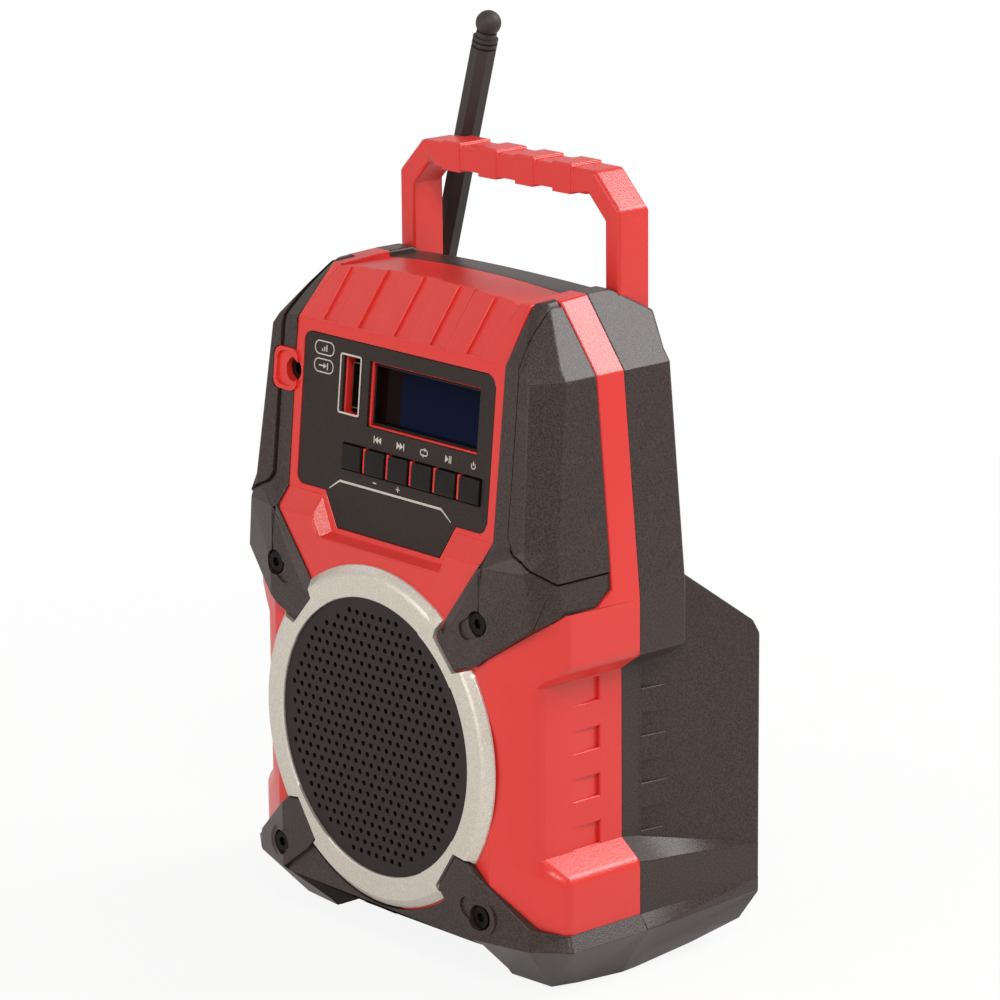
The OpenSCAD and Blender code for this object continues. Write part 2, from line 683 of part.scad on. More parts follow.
bay_y = rear_d;
module bay() {
    translate([-bay_w / 2, bay_y, bay_floor_z]) cube([bay_w, far, far]);
}
rail_y = bay_y + 10;
rail_top_z = bay_floor_z + pack_h * 0.8;
module rear_housing() {
    color(grey) difference() {
        union() {
            difference() {
                union() {
                    intersection() {
                        body(0);
                        above_bulge(0);
                    }
                    loft_halves(bulge_halves(0), 0);
                }
                difference() {
                    union() {
                        intersection() {
                            body(wall);
                            above_bulge(-1);
                        }
                        loft_halves(bulge_halves(-wall - 1), wall);
                    }
                    translate([-bay_w / 2 - wall, bay_y - wall, bay_floor_z - wall])
                        cube([bay_w + 2 * wall, far, far]);
                }
            }
            intersection() {
                body(wall / 2);
                union() {
                    leg_space(fit + 2.2, leg_low_z - 2.5);
                    at_posts() rotate([-90, 0, 0]) cylinder(r = post_r, h = rear_d);
                    at_board_posts() rotate([-90, 0, 0]) cylinder(r = post_r, h = rear_d);
                }
                behind_seam();
            }
        }
        difference() {
            bay();
            for (side = [-1, 1]) translate([side * (bay_w / 2 - rail_reach / 2), rail_y, bay_floor_z])
                linear_extrude(rail_top_z - bay_floor_z) square([rail_reach, rail_w], center = true);
        }
        leg_space(fit, leg_low_z);
        for (side = [-1, 1]) translate([side * (leg_x + leg_t / 2), 0, leg_screw_z]) rotate([-90, 0, 0]) {
            translate([0, 0, handle_y]) cylinder(r = shank_r + fit, h = far);
            translate([0, 0, leg_head_y]) cylinder(r = head_r + 0.4, h = far);
        }
        at_posts() rotate([-90, 0, 0]) translate([0, 0, -1]) cylinder(r = shank_r + fit, h = far);
        for (side = [-1, 1]) for (p = shell_posts)
            translate([side * p[0], rear_at(p[0]) - head_h - 1, p[1]]) rotate([-90, 0, 0])
                cylinder(r = head_r + 0.4, h = far);
        at_board_posts() translate([0, board_y, 0]) rotate([-90, 0, 0]) {
            translate([0, 0, -far]) cylinder(r = post_r + fit, h = far);
            cylinder(r = shank_r + fit, h = board_screw_l);
        }
        translate([pivot_x, 0, pivot_z]) rotate([-90, 0, 0]) cylinder(r = pivot_r + fit, h = far);
        waist_pockets([[slant_x(7.4) - pocket_t, 7.4], [slant_x(17) + 0.02, 17], [slant_x(7.4) + 1, 7.4]]);
        translate([0, terminal_y, bay_floor_z - wall - 1]) linear_extrude(far / 10)
            square([terminal_w - 8, blade_w + 4 * fit], center = true);
    }
}

// The shallow slot that runs from a screw's recess towards the speaker.
module screw_slot(face, end) {
    translate([0, 0, face - slot_depth]) hull() {
        cylinder(r = screw_well_r - 0.9, h = far);
        translate(end) cylinder(r = screw_well_r - 0.9, h = far);
    }
}

// The slope along an arm's inner edge, from its front face down to the red face.
module arm_slope_cut() {
    n = len(guard_edge);
    top = guard_edge[n - 2];
    low = guard_edge[n - 1] + 3 * unit(guard_edge[n - 1] - top);
    into = inward(top, low);
    high = arm_proud + 1;
    run = arm_slope * (high - 0.5) / (arm_lift - 0.5);
    section = [[-3, 0.5], [-3, high], [run, high], [0, 0.5]];
    hull() polyhedron(
        [for (p = [top, low]) for (q = section)
            [p[0] + into[0] * q[0], -front_d - q[1], p[1] + into[1] * q[0]]],
        [[0, 1, 2, 3], [4, 5, 6, 7], [0, 1, 5, 4], [1, 2, 6, 5], [2, 3, 7, 6], [3, 0, 4, 7]]
    );
}

module side_guard() {
    difference() {
        union() {
            intersection() {
                loft_halves(guard_halves, panel_step);
                guard_zone(fit);
            }
            intersection() {
                loft_halves(guard_halves, 0);
                guard_zone(fit);
                through_depth(raised_edge, -far, 0);
            }
        }
        body(guard_seat - fit);
        arm_slope_cut();
        difference() {
            through_depth(inset(raised_edge, -line_w), -far, 0);
            through_depth(raised_edge, -far, 0);
            loft_halves(guard_halves, panel_step + 0.8);
        }
        difference() {
            translate([0, -far, crown_z - 40]) cube(2 * far);
            crown_rim(-0.3);
        }
        translate([screw_span / 2, 0, screw_top_z]) rotate([90, 0, 0]) {
            cylinder(r = shank_r + fit, h = far);
            translate([0, 0, -guard_head_y - fit]) cylinder(r = screw_well_r, h = far);
            screw_slot(front_d + arm_lift, [-slot_run * 0.87, -slot_run * 0.5]);
        }
    }
}

module side_guard_right() {
    color(grey) side_guard();
}

module side_guard_left() {
    color(grey) difference() {
        mirror([1, 0, 0]) side_guard();
        scoop_block(-fit, 0);
    }
}

bumper_arm = [
    [arm_tip_x, screw_low_z + 5.3], [arm_tip_x + 3.1, screw_low_z + 1.8], [screw_span / 2, ledge_z - 1.5],
    [screw_span / 2 + 8, 0], [body_w / 2 + 1, 0], [body_w / 2 + 1, foot_z], [body_w / 2 - 6.6, foot_z + 1.6],
    [screw_span / 2 - 4.1, screw_low_z + 15], [arm_tip_x + 7.1, screw_low_z + 15.8]
];
arm_plan = bumper_halves[2][1];
module bumper_arms() {
    for (side = [0, 1]) mirror([side, 0, 0]) intersection() {
        through_depth(bumper_arm, -far, 0);
        translate([0, 0, ledge_z]) linear_extrude(far / 4)
            polygon([for (p = both_sides(arm_plan)) [p[0], p[1]]]);
    }
}

module bottom_bumper() {
    bar_d = front_d + 0.8;
    bar_x = screw_span / 2 - 2;
    color(grey) difference() {
        union() {
            difference() {
                union() {
                    loft_halves(bumper_halves, 0);
                    bumper_arms();
                    translate([-bar_x, -bar_d, ledge_z - 1]) cube([2 * bar_x, 3, 12]);
                }
                body(-fit);
            }
            at_guard_low() rotate([90, 0, 0]) translate([0, 0, front_d - guard_seat + fit])
                cylinder(r = spigot_r - fit, h = guard_seat + 1);
        }
        difference() {
            translate([-bar_x, -far, -1]) cube([2 * bar_x, far - bar_d, far]);
            bumper_arms();
        }
        intersection() {
            across_width([[far, -1], [far, foot_arch], [-foot_d / 2, foot_arch], [-bar_d, ledge_z - 1.6],
                [-far, ledge_z - 1.6], [-far, -1]], 2 * far);
            linear_extrude(far) polygon([[3.5 - bar_x, far], [3.5 - bar_x, -foot_d], [-bar_x - 2, arm_y],
                [-bar_x - 2, -far], [bar_x + 2, -far], [bar_x + 2, arm_y],
                [bar_x - 3.5, -foot_d], [bar_x - 3.5, far]]);
        }
        translate([0, -fit, 0]) behind_seam();
        difference() {
            speaker_axis(0) cylinder(r = ring_r + 0.6, h = far, $fn = 180);
            bumper_arms();
        }
        at_guard_low() rotate([90, 0, 0]) {
            cylinder(r = shank_r + fit, h = far);
            translate([0, 0, -guard_head_y - fit]) cylinder(r = screw_well_r, h = far);
        }
        for (side = [0, 1]) mirror([side, 0, 0]) translate([screw_span / 2, 0, screw_low_z])
            rotate([90, 0, 0]) screw_slot(-arm_y, [-slot_run * 0.87, slot_run * 0.5]);
    }
}

module at_guard_low() {
    for (side = [-1, 1]) translate([side * screw_span / 2, 0, screw_low_z]) children();
}

module guard_screws() {
    color(steel) at_guard_screws() translate([0, guard_head_y, 0]) mirror([0, 1, 0]) rotate([-90, 0, 0]) {
        difference() {
            cylinder(r = head_r, h = guard_head_h);
            translate([0, 0, guard_head_h * 0.4]) cylinder(r = head_r * 0.5, h = guard_head_h, $fn = 6);
        }
        translate([0, 0, -guard_screw_l]) cylinder(r = shank_r, h = guard_screw_l + fit);
    }
}

lip_t = 0.8;
module speaker_ring() {
    lip_r = ring_in_r - 2;
    color("#c4beb6") difference() {
        speaker_axis(-front_d) rotate_extrude($fn = 180) polygon([
            [lip_r, 0], [ring_r, 0], [ring_r, 0.7], [ring_r - 2.4, ring_h],
            [ring_in_r, ring_h], [ring_in_r, lip_t], [lip_r, lip_t]
        ]);
        for (side = [0, 1]) mirror([side, 0, 0]) {
            through_depth(inset(guard_edge, -0.6), -far, 0);
            through_depth(inset(bumper_arm, -0.6), -far, 0);
        }
    }
}

grille_r = ring_in_r - fit;
module speaker_grille() {
    rows = floor((grille_r - mesh_margin) / (mesh_pitch * sin(60)));
    color(black) speaker_axis(-front_d - lip_t) linear_extrude(grille_t) difference() {
        circle(grille_r, $fn = 180);
        for (row = [-rows:rows]) for (i = [-12:12])
            let (x = (i + (abs(row) % 2) / 2) * mesh_pitch, y = row * mesh_pitch * sin(60))
                if (norm([x, y]) < grille_r - mesh_margin) translate([x, y]) circle(mesh_r, $fn = 16);
    }
}

gasket_t = 1;
gasket_y = speaker_in_y + gasket_t;
module speaker_gasket() {
    color(black) speaker_axis(gasket_y) linear_extrude(gasket_t) difference() {
        circle(flange_r, $fn = 120);
        circle(cone_hole_r, $fn = 120);
        at_driver_screws() circle(shank_r + 0.4);
    }
}

flange_t = 1.4;
flange_y = gasket_y + flange_t;
neck_r = magnet_r - 7;
module driver_basket() {
    color(steel) speaker_axis(flange_y) difference() {
        rotate_extrude($fn = 120) polygon([
            [cone_hole_r, 0], [flange_r, 0], [flange_r, flange_t], [cone_hole_r - 3, flange_t],
            [cone_hole_r - 3, -1], [neck_r + 2, -basket_h + 2], [neck_r - 8, -basket_h + 2],
            [neck_r - 8, -basket_h], [neck_r + 3, -basket_h]
        ]);
        translate([0, 0, -far]) at_driver_screws() cylinder(r = shank_r + fit, h = 2 * far);
    }
}

module driver_magnet() {
    color("#35322f") speaker_axis(flange_y + basket_h + magnet_h) difference() {
        cylinder(r = magnet_r, h = magnet_h, $fn = 96);
        translate([0, 0, -1]) cylinder(r = 4, h = 4);
    }
}

module driver_surround() {
    roll = 2.2;
    seat = cone_hole_r - 1;
    color(black) speaker_axis(flange_y - flange_t) rotate_extrude($fn = 120) difference() {
        union() {
            translate([seat - roll - 1.4, 0]) circle(roll);
            translate([seat - 1.6, 0]) square([2.4, 0.7]);
            translate([seat - 2 * roll - 3.4, 0]) square([3, 0.7]);
        }
        translate([seat - roll - 1.4, 0]) circle(roll - 0.7);
        translate([0, -far]) square([far, far]);
    }
}

cone_edge_r = cone_hole_r - 8;
cone_foot_r = neck_r - 9;
cone_h = 15;
module driver_cone() {
    color("#3a3634") speaker_axis(flange_y - flange_t + fit) rotate_extrude($fn = 120) polygon([
        [cone_edge_r + 1.6, 0], [cone_edge_r + 1.6, -0.7], [cone_edge_r, -0.7], [cone_foot_r + 0.7, -cone_h],
        [cone_foot_r + 0.7, -basket_h + 3.6], [cone_foot_r, -basket_h + 3.6], [cone_foot_r, -cone_h + 1.2],
        [cone_edge_r - 0.6, 0]
    ]);
}

module dust_cap() {
    cap_r = cone_foot_r + 2;
    cap_ball = cap_r * 1.35;
    drop = sqrt(cap_ball * cap_ball - cap_r * cap_r);
    cone_run = (cone_edge_r - cap_r) / (cone_edge_r - cone_foot_r);
    cap_seat = (cone_h - 1.2) * cone_run - 2 * fit;
    color(black) speaker_axis(flange_y - flange_t + cap_seat) difference() {
        translate([0, 0, -drop]) sphere(r = cap_ball, $fn = 64);
        translate([0, 0, -drop]) sphere(r = cap_ball - 0.6, $fn = 64);
        translate([-far, -far, -2 * far]) cube(2 * far);
    }
}

module driver_screws() {
    color(steel) speaker_axis(flange_y) at_driver_screws() {
        translate([0, 0, -head_h]) difference() {
            cylinder(r = 2.4, h = head_h);
            translate([0, 0, -1]) cylinder(r = 1.2, h = 1 + head_h * 0.5, $fn = 6);
        }
        translate([0, 0, -fit]) cylinder(r = shank_r, h = flange_t + gasket_t + 1.6);
    }
}

module control_panel() {
    color("#3b3634") on_plate(-bed_front + fit) linear_extrude(plate_t) difference() {
        plate_shape(0);
        translate([lcd_x, lcd_y]) square([lcd_w, lcd_h], center = true);
        translate([usb_x, usb_y]) square([usb_w, usb_h], center = true);
        translate([key_x, key_mid_y]) square([key_slot_w, key_h + 2 * play], center = true);
    }
}

lens_t = 1.4;
lens_rim = 1.6;
module display_lens() {
    color([0.05, 0.07, 0.14]) on_plate(-bed_back - lens_t - fit) translate([lcd_x, lcd_y, 0])
        linear_extrude(lens_t) round_rect(lcd_w + 2 * lens_rim, lcd_h + 2 * lens_rim, 0.8);
}

lcd_front = bed_back + lens_t + 2 * fit;
module display_module() {
    color("#1c2430") on_plate(-board_back + fit) translate([lcd_x, lcd_y, 0])
        linear_extrude(board_back - lcd_front - fit)
            square([lcd_w + 2 * lens_rim - 1, lcd_h + 2 * lens_rim - 1], center = true);
}

shell_usb = [5.7, 13.1];
usb_mouth = bed_back - 1;
usb_l = 14;
module usb_socket() {
    color(steel) on_plate(-usb_mouth - usb_l) translate([usb_x, usb_y, 0]) {
        difference() {
            linear_extrude(usb_l) square(shell_usb, center = true);
            translate([0, 0, 1]) linear_extrude(usb_l)
                square([shell_usb[0] - 0.6, shell_usb[1] - 0.6], center = true);
        }
        translate([shell_usb[0] / 2 - 1.9, 0, 0.5]) linear_extrude(usb_l - 3)
            square([1.1, 11], center = true);
    }
}

module aux_socket() {
    color(black) translate([-aux_x, -scoop_floor - 0.3, scoop_z]) rotate([-90, 0, 0]) difference() {
        cylinder(r = aux_bush_r, h = aux_depth + 2);
        translate([0, 0, -1]) cylinder(r = aux_r, h = aux_depth + 1);
    }
}

module key(i) {
    stem_gap = key_travel + play;
    back = bed_back + fit;
    color(black) on_plate() translate([key_place(i), key_mid_y, 0]) {
        translate([0, 0, -back]) linear_extrude(back + key_proud) square([key_w, key_h], center = true);
        translate([0, 0, -back - 1]) linear_extrude(1)
            square([key_pitch - 2 * play, key_h + 1.6], center = true);
        translate([0, 0, -board_back + switch_h + stem_gap])
            cylinder(r = 1.4, h = board_back - switch_h - stem_gap - back);
    }
}

module button_mode() {
    key(0);
}

module button_previous() {
    key(1);
}

module button_next() {
    key(2);
}

module button_repeat() {
    key(3);
}

module button_play() {
    key(4);
}

module button_power() {
    key(5);
}

pcb_t = 1.6;
module control_board() {
    color("#2f5d3a") on_plate(-board_back - pcb_t) linear_extrude(pcb_t) difference() {
        translate([0, -plate_h / 2]) square([plate_w - 6, plate_h - 3], center = true);
        translate([usb_x, usb_y]) square(shell_usb + [2 * fit, 2 * fit], center = true);
    }
}

module key_switches() {
    color("#8d8a86") on_plate(-board_back) for (i = [0:5]) translate([key_place(i), key_mid_y, 0]) {
        linear_extrude(switch_h * 0.8) square([switch_w, switch_w], center = true);
        cylinder(r = switch_w * 0.28, h = switch_h);
    }
}

board_y = rear_d - wall - 9;
board_screw_l = 7;
board_span = [board_screw_w, board_screw_h];
board_mid_z = shoulder_z - board_screw_h * 0.728;
module at_board_posts() {
    for (x = [-1, 1]) for (z = [-1, 1])
        translate([x * board_span[0] / 2, 0, board_mid_z + z * board_span[1] / 2]) children();
}

module main_board() {
    color("#2f5d3a") translate([0, board_y - fit, 0]) difference() {
        translate([0, 0, board_mid_z]) rotate([90, 0, 0])
            linear_extrude(pcb_t) square(board_span + 2 * [board_margin, board_margin], center = true);
        at_board_posts() rotate([90, 0, 0]) translate([0, 0, -1]) cylinder(r = shank_r + fit, h = pcb_t + 2);
    }
}

module board_parts() {
    front_y = board_y - fit - pcb_t;
    translate([0, front_y, board_mid_z]) rotate([90, 0, 0]) {
        color("#2b2a33") for (i = [0, 1])
            translate([(2.75 * i - 5) * capacitor_r, capacitor_r, 0])
                cylinder(r = capacitor_r, h = capacitor_h);
        color(steel) translate([cooler_w * 0.3, -cooler_w / 2, 0]) difference() {
            cube([cooler_w, cooler_w * 0.9, cooler_h]);
            for (i = [0:3]) translate([cooler_w * (0.155 + 0.21 * i), -cooler_w * 0.05, cooler_h * 0.375])
                cube([cooler_w * 0.09, cooler_w, cooler_h]);
        }
        color(black) translate([-chip_w * 9 / 7, -chip_w * 6 / 7, 0])
            cube([chip_w, chip_w * 4 / 7, chip_w / 7]);
    }
}

module board_screws() {
    color(steel) at_board_posts() translate([0, board_y - fit - pcb_t, 0]) rotate([-90, 0, 0]) {
        translate([0, 0, -1.6]) difference() {
            cylinder(r = 2.6, h = 1.6);
            translate([0, 0, -1]) cylinder(r = 1.2, h = 1.8, $fn = 6);
        }
        cylinder(r = shank_r, h = board_screw_l - 1);
    }
}

leg_screw_z = crown_z - 12;
leg_head_y = handle_y + handle_d + 0.2 - head_h;
module handle() {
    inner_x = leg_x;
    outer_x = handle_w / 2;
    inner_slope = handle_slope * 0.67;
    low_z = leg_low_z + fit;
    color(red) difference() {
        union() {
            through_depth([
                [outer_x, low_z], [outer_x, handle_z - handle_slope], [outer_x - handle_slope, handle_z],
                [handle_slope - outer_x, handle_z], [-outer_x, handle_z - handle_slope], [-outer_x, low_z],
                [-inner_x, low_z], [-inner_x, handle_z - grip_t - inner_slope],
                [inner_slope - inner_x, handle_z - grip_t], [inner_x - inner_slope, handle_z - grip_t],
                [inner_x, handle_z - grip_t - inner_slope], [inner_x, low_z]
            ], handle_y, handle_y + handle_d);
            for (i = [-1.5:1.5]) translate([i * pad_pitch, handle_y + handle_d / 2, handle_z - grip_t / 2])
                cube([pad_l, handle_d + pad_h, grip_t + 2 * pad_h], center = true);
        }
        for (side = [-1, 1]) translate([side * (inner_x + leg_t / 2), 0, leg_screw_z]) rotate([-90, 0, 0]) {
            translate([0, 0, handle_y + 2]) cylinder(r = shank_r + fit, h = far);
            translate([0, 0, leg_head_y - fit]) cylinder(r = head_r + 0.4, h = far);
        }
    }
}

module handle_screws() {
    color(steel) for (side = [-1, 1]) translate([side * (leg_x + leg_t / 2), leg_head_y, leg_screw_z])
        rotate([-90, 0, 0]) {
            difference() {
                cylinder(r = head_r - 0.2, h = head_h);
                translate([0, 0, head_h * 0.4]) cylinder(r = head_r * 0.45, h = head_h, $fn = 6);
            }
            translate([0, 0, -handle_d + 5]) cylinder(r = shank_r, h = handle_d - 5);
        }
}

knuckle_y = aerial_y - aerial_w / 2;
module antenna_mount() {
    color(black) difference() {
        translate([pivot_x, 0, pivot_z]) rotate([-90, 0, 0])
            cylinder(r = knuckle_r + 1.4, h = knuckle_y - play);
        body(-fit);
        translate([pivot_x, 0, pivot_z]) rotate([-90, 0, 0]) cylinder(r = pivot_r + fit, h = far);
    }
}

pin_head_h = 1.6;
module antenna_pin() {
    color(steel) translate([pivot_x, 0, pivot_z]) rotate([-90, 0, 0]) {
        translate([0, 0, rear_at(pivot_x) - 5])
            cylinder(r = pivot_r, h = knuckle_y + aerial_w + play - rear_at(pivot_x) + 5);
        translate([0, 0, knuckle_y + aerial_w + play]) difference() {
            cylinder(r = pivot_r + 1.6, h = pin_head_h);
            translate([-far, -0.4, 0.8]) cube([2 * far, 0.8, far]);
        }
    }
}

module antenna_mast() {
    ball_r = aerial_w / 2 - 0.1;
    neck_z = aerial_l - 2 * ball_r;
    neck_l = 3.7;
    shaft_l = neck_z - neck_l;
    tip_flat = 0.06;
    flat_r = (aerial_w / 2 - 0.15) / cos(22.5);
    color(black) translate([pivot_x, aerial_y, pivot_z]) rotate([0, aerial_lean, 0]) difference() {
        union() {
            rotate([90, 0, 0]) cylinder(r = knuckle_r, h = aerial_w, center = true);
            rotate(22.5) cylinder(r = flat_r, h = shaft_l, $fn = 8);
            rotate_extrude() {
                translate([0, shaft_l - 1]) square([ball_r - 0.7, neck_l + 2]);
                for (i = [0, 1]) translate([0, shaft_l + 0.7 + i * 1.5]) square([ball_r, 0.9]);
                intersection() {
                    translate([0, aerial_l - ball_r]) circle(ball_r);
                    translate([0, shaft_l]) square([far, aerial_l - shaft_l - tip_flat]);
                }
            }
        }
        rotate([90, 0, 0]) cylinder(r = pivot_r + run_gap, h = far, center = true);
    }
}

terminal_w = 44;
terminal_h = 3.6;
terminal_y = bay_y + 8;
blade_t = 0.8;
blade_w = 6;
blade_h = 9;
blade_x = [-14, 0, 14];
pack_low_z = bay_floor_z + terminal_h + 0.4;
pack_w = bay_w - 2 * play;
pack_y = bay_y + play;
module battery_pack() {
    corner = 5;
    color("#302c2a") difference() {
        translate([0, 0, pack_low_z]) linear_extrude(pack_h) polygon([
            [-pack_w / 2, pack_y], [pack_w / 2, pack_y], [pack_w / 2, pack_y + pack_d - corner],
            [pack_w / 2 - corner, pack_y + pack_d], [corner - pack_w / 2, pack_y + pack_d],
            [-pack_w / 2, pack_y + pack_d - corner]
        ]);
        for (side = [-1, 1]) translate([side * bay_w / 2, rail_y, 0])
            linear_extrude(far) square([2 * (rail_reach + play), rail_w + 2 * play], center = true);
        for (x = blade_x) translate([x, terminal_y, pack_low_z])
            cube([blade_t + 1.4, blade_w + 2, 2 * (blade_h + 2)], center = true);
        translate([0, pack_y + pack_d, release_z])
            cube([release_w + 2 * play, 2 * release_in, release_h + 2 * play], center = true);
    }
}

release_z = pack_low_z + pack_h - release_h * 15 / 14;
release_in = release_travel + 3;
module battery_release() {
    color(red) translate([0, pack_y + pack_d, release_z]) difference() {
        translate([-release_w / 2, -release_in + release_travel + play, -release_h / 2])
            cube([release_w, release_in - release_travel - play + 0.4, release_h]);
        for (i = [-1:1]) translate([-release_w / 2 - 1, 0, i * release_h / 4 - 0.6])
            cube([release_w + 2, 2, 1.2]);
    }
}

module terminal_block() {
    color(black) translate([0, terminal_y, bay_floor_z + fit]) difference() {
        linear_extrude(terminal_h - fit) square([terminal_w, 11], center = true);
        for (x = blade_x) translate([x, 0, -1]) linear_extrude(far)
            square([blade_t + 2 * fit, blade_w + 2 * fit], center = true);
    }
}

module terminal_blades() {
    color("#c9a24a") for (x = blade_x) translate([x, terminal_y, bay_floor_z - wall]) {
        linear_extrude(wall + terminal_h + blade_h) square([blade_t, blade_w], center = true);
    }
}

module housing_screws() {
    color(steel) for (side = [-1, 1]) for (p = shell_posts)
        translate([side * p[0], rear_at(p[0]) - head_h - 1, p[1]]) rotate([-90, 0, 0]) {
            difference() {
                cylinder(r = head_r, h = head_h);
                translate([0, 0, head_h * 0.4]) cylinder(r = head_r * 0.5, h = head_h, $fn = 6);
            }
            translate([0, 0, -shell_screw_l + head_h]) cylinder(r = shank_r, h = shell_screw_l - head_h);
        }
}

// The part stands with the middle of its depth over the origin.
front_reach = front_d + ring_h;
rear_reach = pack_y + pack_d + 0.4;
module stand() {
    translate([0, (front_reach - rear_reach) / 2, 0]) children();
}

stand() {
    front_housing();
    color(red) key_ribs();
}
stand() rear_housing();
stand() side_guard_left();
stand() side_guard_right();
stand() bottom_bumper();
stand() guard_screws();
stand() speaker_ring();
stand() speaker_grille();
stand() speaker_gasket();
stand() driver_basket();
stand() driver_surround();
stand() driver_cone();
stand() dust_cap();
stand() driver_magnet();
stand() driver_screws();
stand() control_panel();
stand() display_lens();
stand() display_module();
stand() usb_socket();
stand() aux_socket();
stand() button_mode();
stand() button_previous();
stand() button_next();
stand() button_repeat();
stand() button_play();
stand() button_power();
stand() control_board();
stand() key_switches();
stand() main_board();
stand() board_parts();
stand() board_screws();
stand() handle();
stand() handle_screws();
stand() antenna_mount();
stand() antenna_pin();
stand() antenna_mast();
stand() battery_pack();
stand() battery_release();
stand() terminal_block();
stand() terminal_blades();
stand() housing_screws();
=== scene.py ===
import json
import math

import bmesh
import bpy
from mathutils import Matrix, Vector

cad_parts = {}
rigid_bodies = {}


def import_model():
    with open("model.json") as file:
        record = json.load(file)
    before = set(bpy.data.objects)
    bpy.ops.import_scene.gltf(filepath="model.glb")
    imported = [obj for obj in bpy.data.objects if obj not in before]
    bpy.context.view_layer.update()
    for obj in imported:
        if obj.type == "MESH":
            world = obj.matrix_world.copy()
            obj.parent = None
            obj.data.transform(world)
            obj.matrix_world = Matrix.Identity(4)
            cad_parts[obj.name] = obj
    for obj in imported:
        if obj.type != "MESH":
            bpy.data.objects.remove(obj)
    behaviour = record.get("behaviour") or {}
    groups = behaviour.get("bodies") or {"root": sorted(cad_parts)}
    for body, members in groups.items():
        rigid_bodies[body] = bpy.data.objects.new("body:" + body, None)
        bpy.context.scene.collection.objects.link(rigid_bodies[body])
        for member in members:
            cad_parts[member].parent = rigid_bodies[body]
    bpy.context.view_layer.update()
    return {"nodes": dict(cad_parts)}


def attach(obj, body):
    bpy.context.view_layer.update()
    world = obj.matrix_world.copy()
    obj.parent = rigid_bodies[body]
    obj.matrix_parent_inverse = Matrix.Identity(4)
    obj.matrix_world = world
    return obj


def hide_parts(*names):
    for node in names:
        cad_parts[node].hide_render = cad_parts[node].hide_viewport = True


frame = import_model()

# Camera. A long lens from the front right, a little above the handle's height,
# placed so that the front and the right side are seen as on the product shot.
lens = bpy.data.cameras.new("camera")
lens.lens = 155.91
lens.sensor_width = 36.0
lens.clip_end = 20.0
camera = bpy.data.objects.new("camera", lens)
bpy.context.scene.collection.objects.link(camera)
camera_right = Vector((0.66173528, 0.74968563, -0.00882475))
camera_up = Vector((-0.18286297, 0.17280278, 0.9678328))
camera_back = Vector((0.72709528, -0.63883539, 0.25143944))
camera.matrix_world = Matrix.Translation(Vector((0.900445, -0.788105, 0.436585))) @ Matrix(
    (camera_right, camera_up, camera_back)).transposed().to_4x4()
bpy.context.scene.camera = camera


# Studio. A pale paper floor that runs out to white, and four soft boxes: the main one
# high in front on the right, a wide fill in front, one behind that draws the upper bevels
# and a weak one on the left.
MM = 0.001
WHITE = (1, 1, 1, 1)
MIRRORED = 0.5  # the share of the white that shows in reflections


def linear(hex_colour):
    channels = [int(hex_colour[i:i + 2], 16) / 255 for i in (1, 3, 5)]
    return [c / 12.92 if c <= 0.04045 else ((c + 0.055) / 1.055) ** 2.4 for c in channels] + [1.0]


def add_node(tree, kind, settings=None, inputs=None):
    made = tree.nodes.new(kind)
    for name, value in (settings or {}).items():
        setattr(made, name, value)
    for name, value in (inputs or {}).items():
        if isinstance(value, bpy.types.NodeSocket):
            tree.links.new(value, made.inputs[name])
        else:
            made.inputs[name].default_value = value
    return made


def add_lamp(name, place, aim, size, power, colour):
    data = bpy.data.lights.new(name, "AREA")
    data.size = size
    data.energy = power
    data.color = linear(colour)[:3]
    lamp = bpy.data.objects.new(name, data)
    lamp.location = place
    lamp.rotation_euler = (Vector(aim) - Vector(place)).to_track_quat("-Z", "Y").to_euler()
    bpy.context.scene.collection.objects.link(lamp)


bpy.context.scene.view_settings.view_transform = "Standard"
add_lamp("key_lamp", (0.86, -0.64, 1.04), (0, 0, 0.14), 0.34, 7.3, "#fff8f2")
add_lamp("fill_lamp", (-0.4, -1.9, 0.6), (0, 0, 0.1), 1.4, 14.0, "#fff8f2")
add_lamp("rim_lamp", (0.63, 0.96, 1.12), (0, 0, 0.17), 0.7, 17.0, "#ffffff")
add_lamp("left_lamp", (-1.4, -0.35, 1.15), (0, 0, 0.15), 0.6, 1.0, "#ffffff")
world = bpy.data.worlds.new("studio")
bpy.context.scene.world = world
world.use_nodes = True
tree = world.node_tree
tree.nodes.clear()
rays = add_node(tree, "ShaderNodeLightPath")
seen = add_node(tree, "ShaderNodeMath", {"operation": "MAXIMUM"},
                {0: rays.outputs["Is Camera Ray"], 1: rays.outputs["Is Transmission Ray"]})
sheen = add_node(tree, "ShaderNodeMath", {"operation": "MULTIPLY"},
                 {0: rays.outputs["Is Glossy Ray"], 1: MIRRORED})
seen = add_node(tree, "ShaderNodeMath", {"operation": "MAXIMUM"},
                {0: seen.outputs[0], 1: sheen.outputs[0]})
soft = add_node(tree, "ShaderNodeBackground", None,
                {"Color": linear("#f4f1ee"), "Strength": 0.28})
white = add_node(tree, "ShaderNodeBackground", None, {"Color": WHITE, "Strength": 1.0})
mixed = add_node(tree, "ShaderNodeMixShader", None,
                 {0: seen.outputs[0], 1: soft.outputs[0], 2: white.outputs[0]})
add_node(tree, "ShaderNodeOutputWorld", None, {"Surface": mixed.outputs[0]})

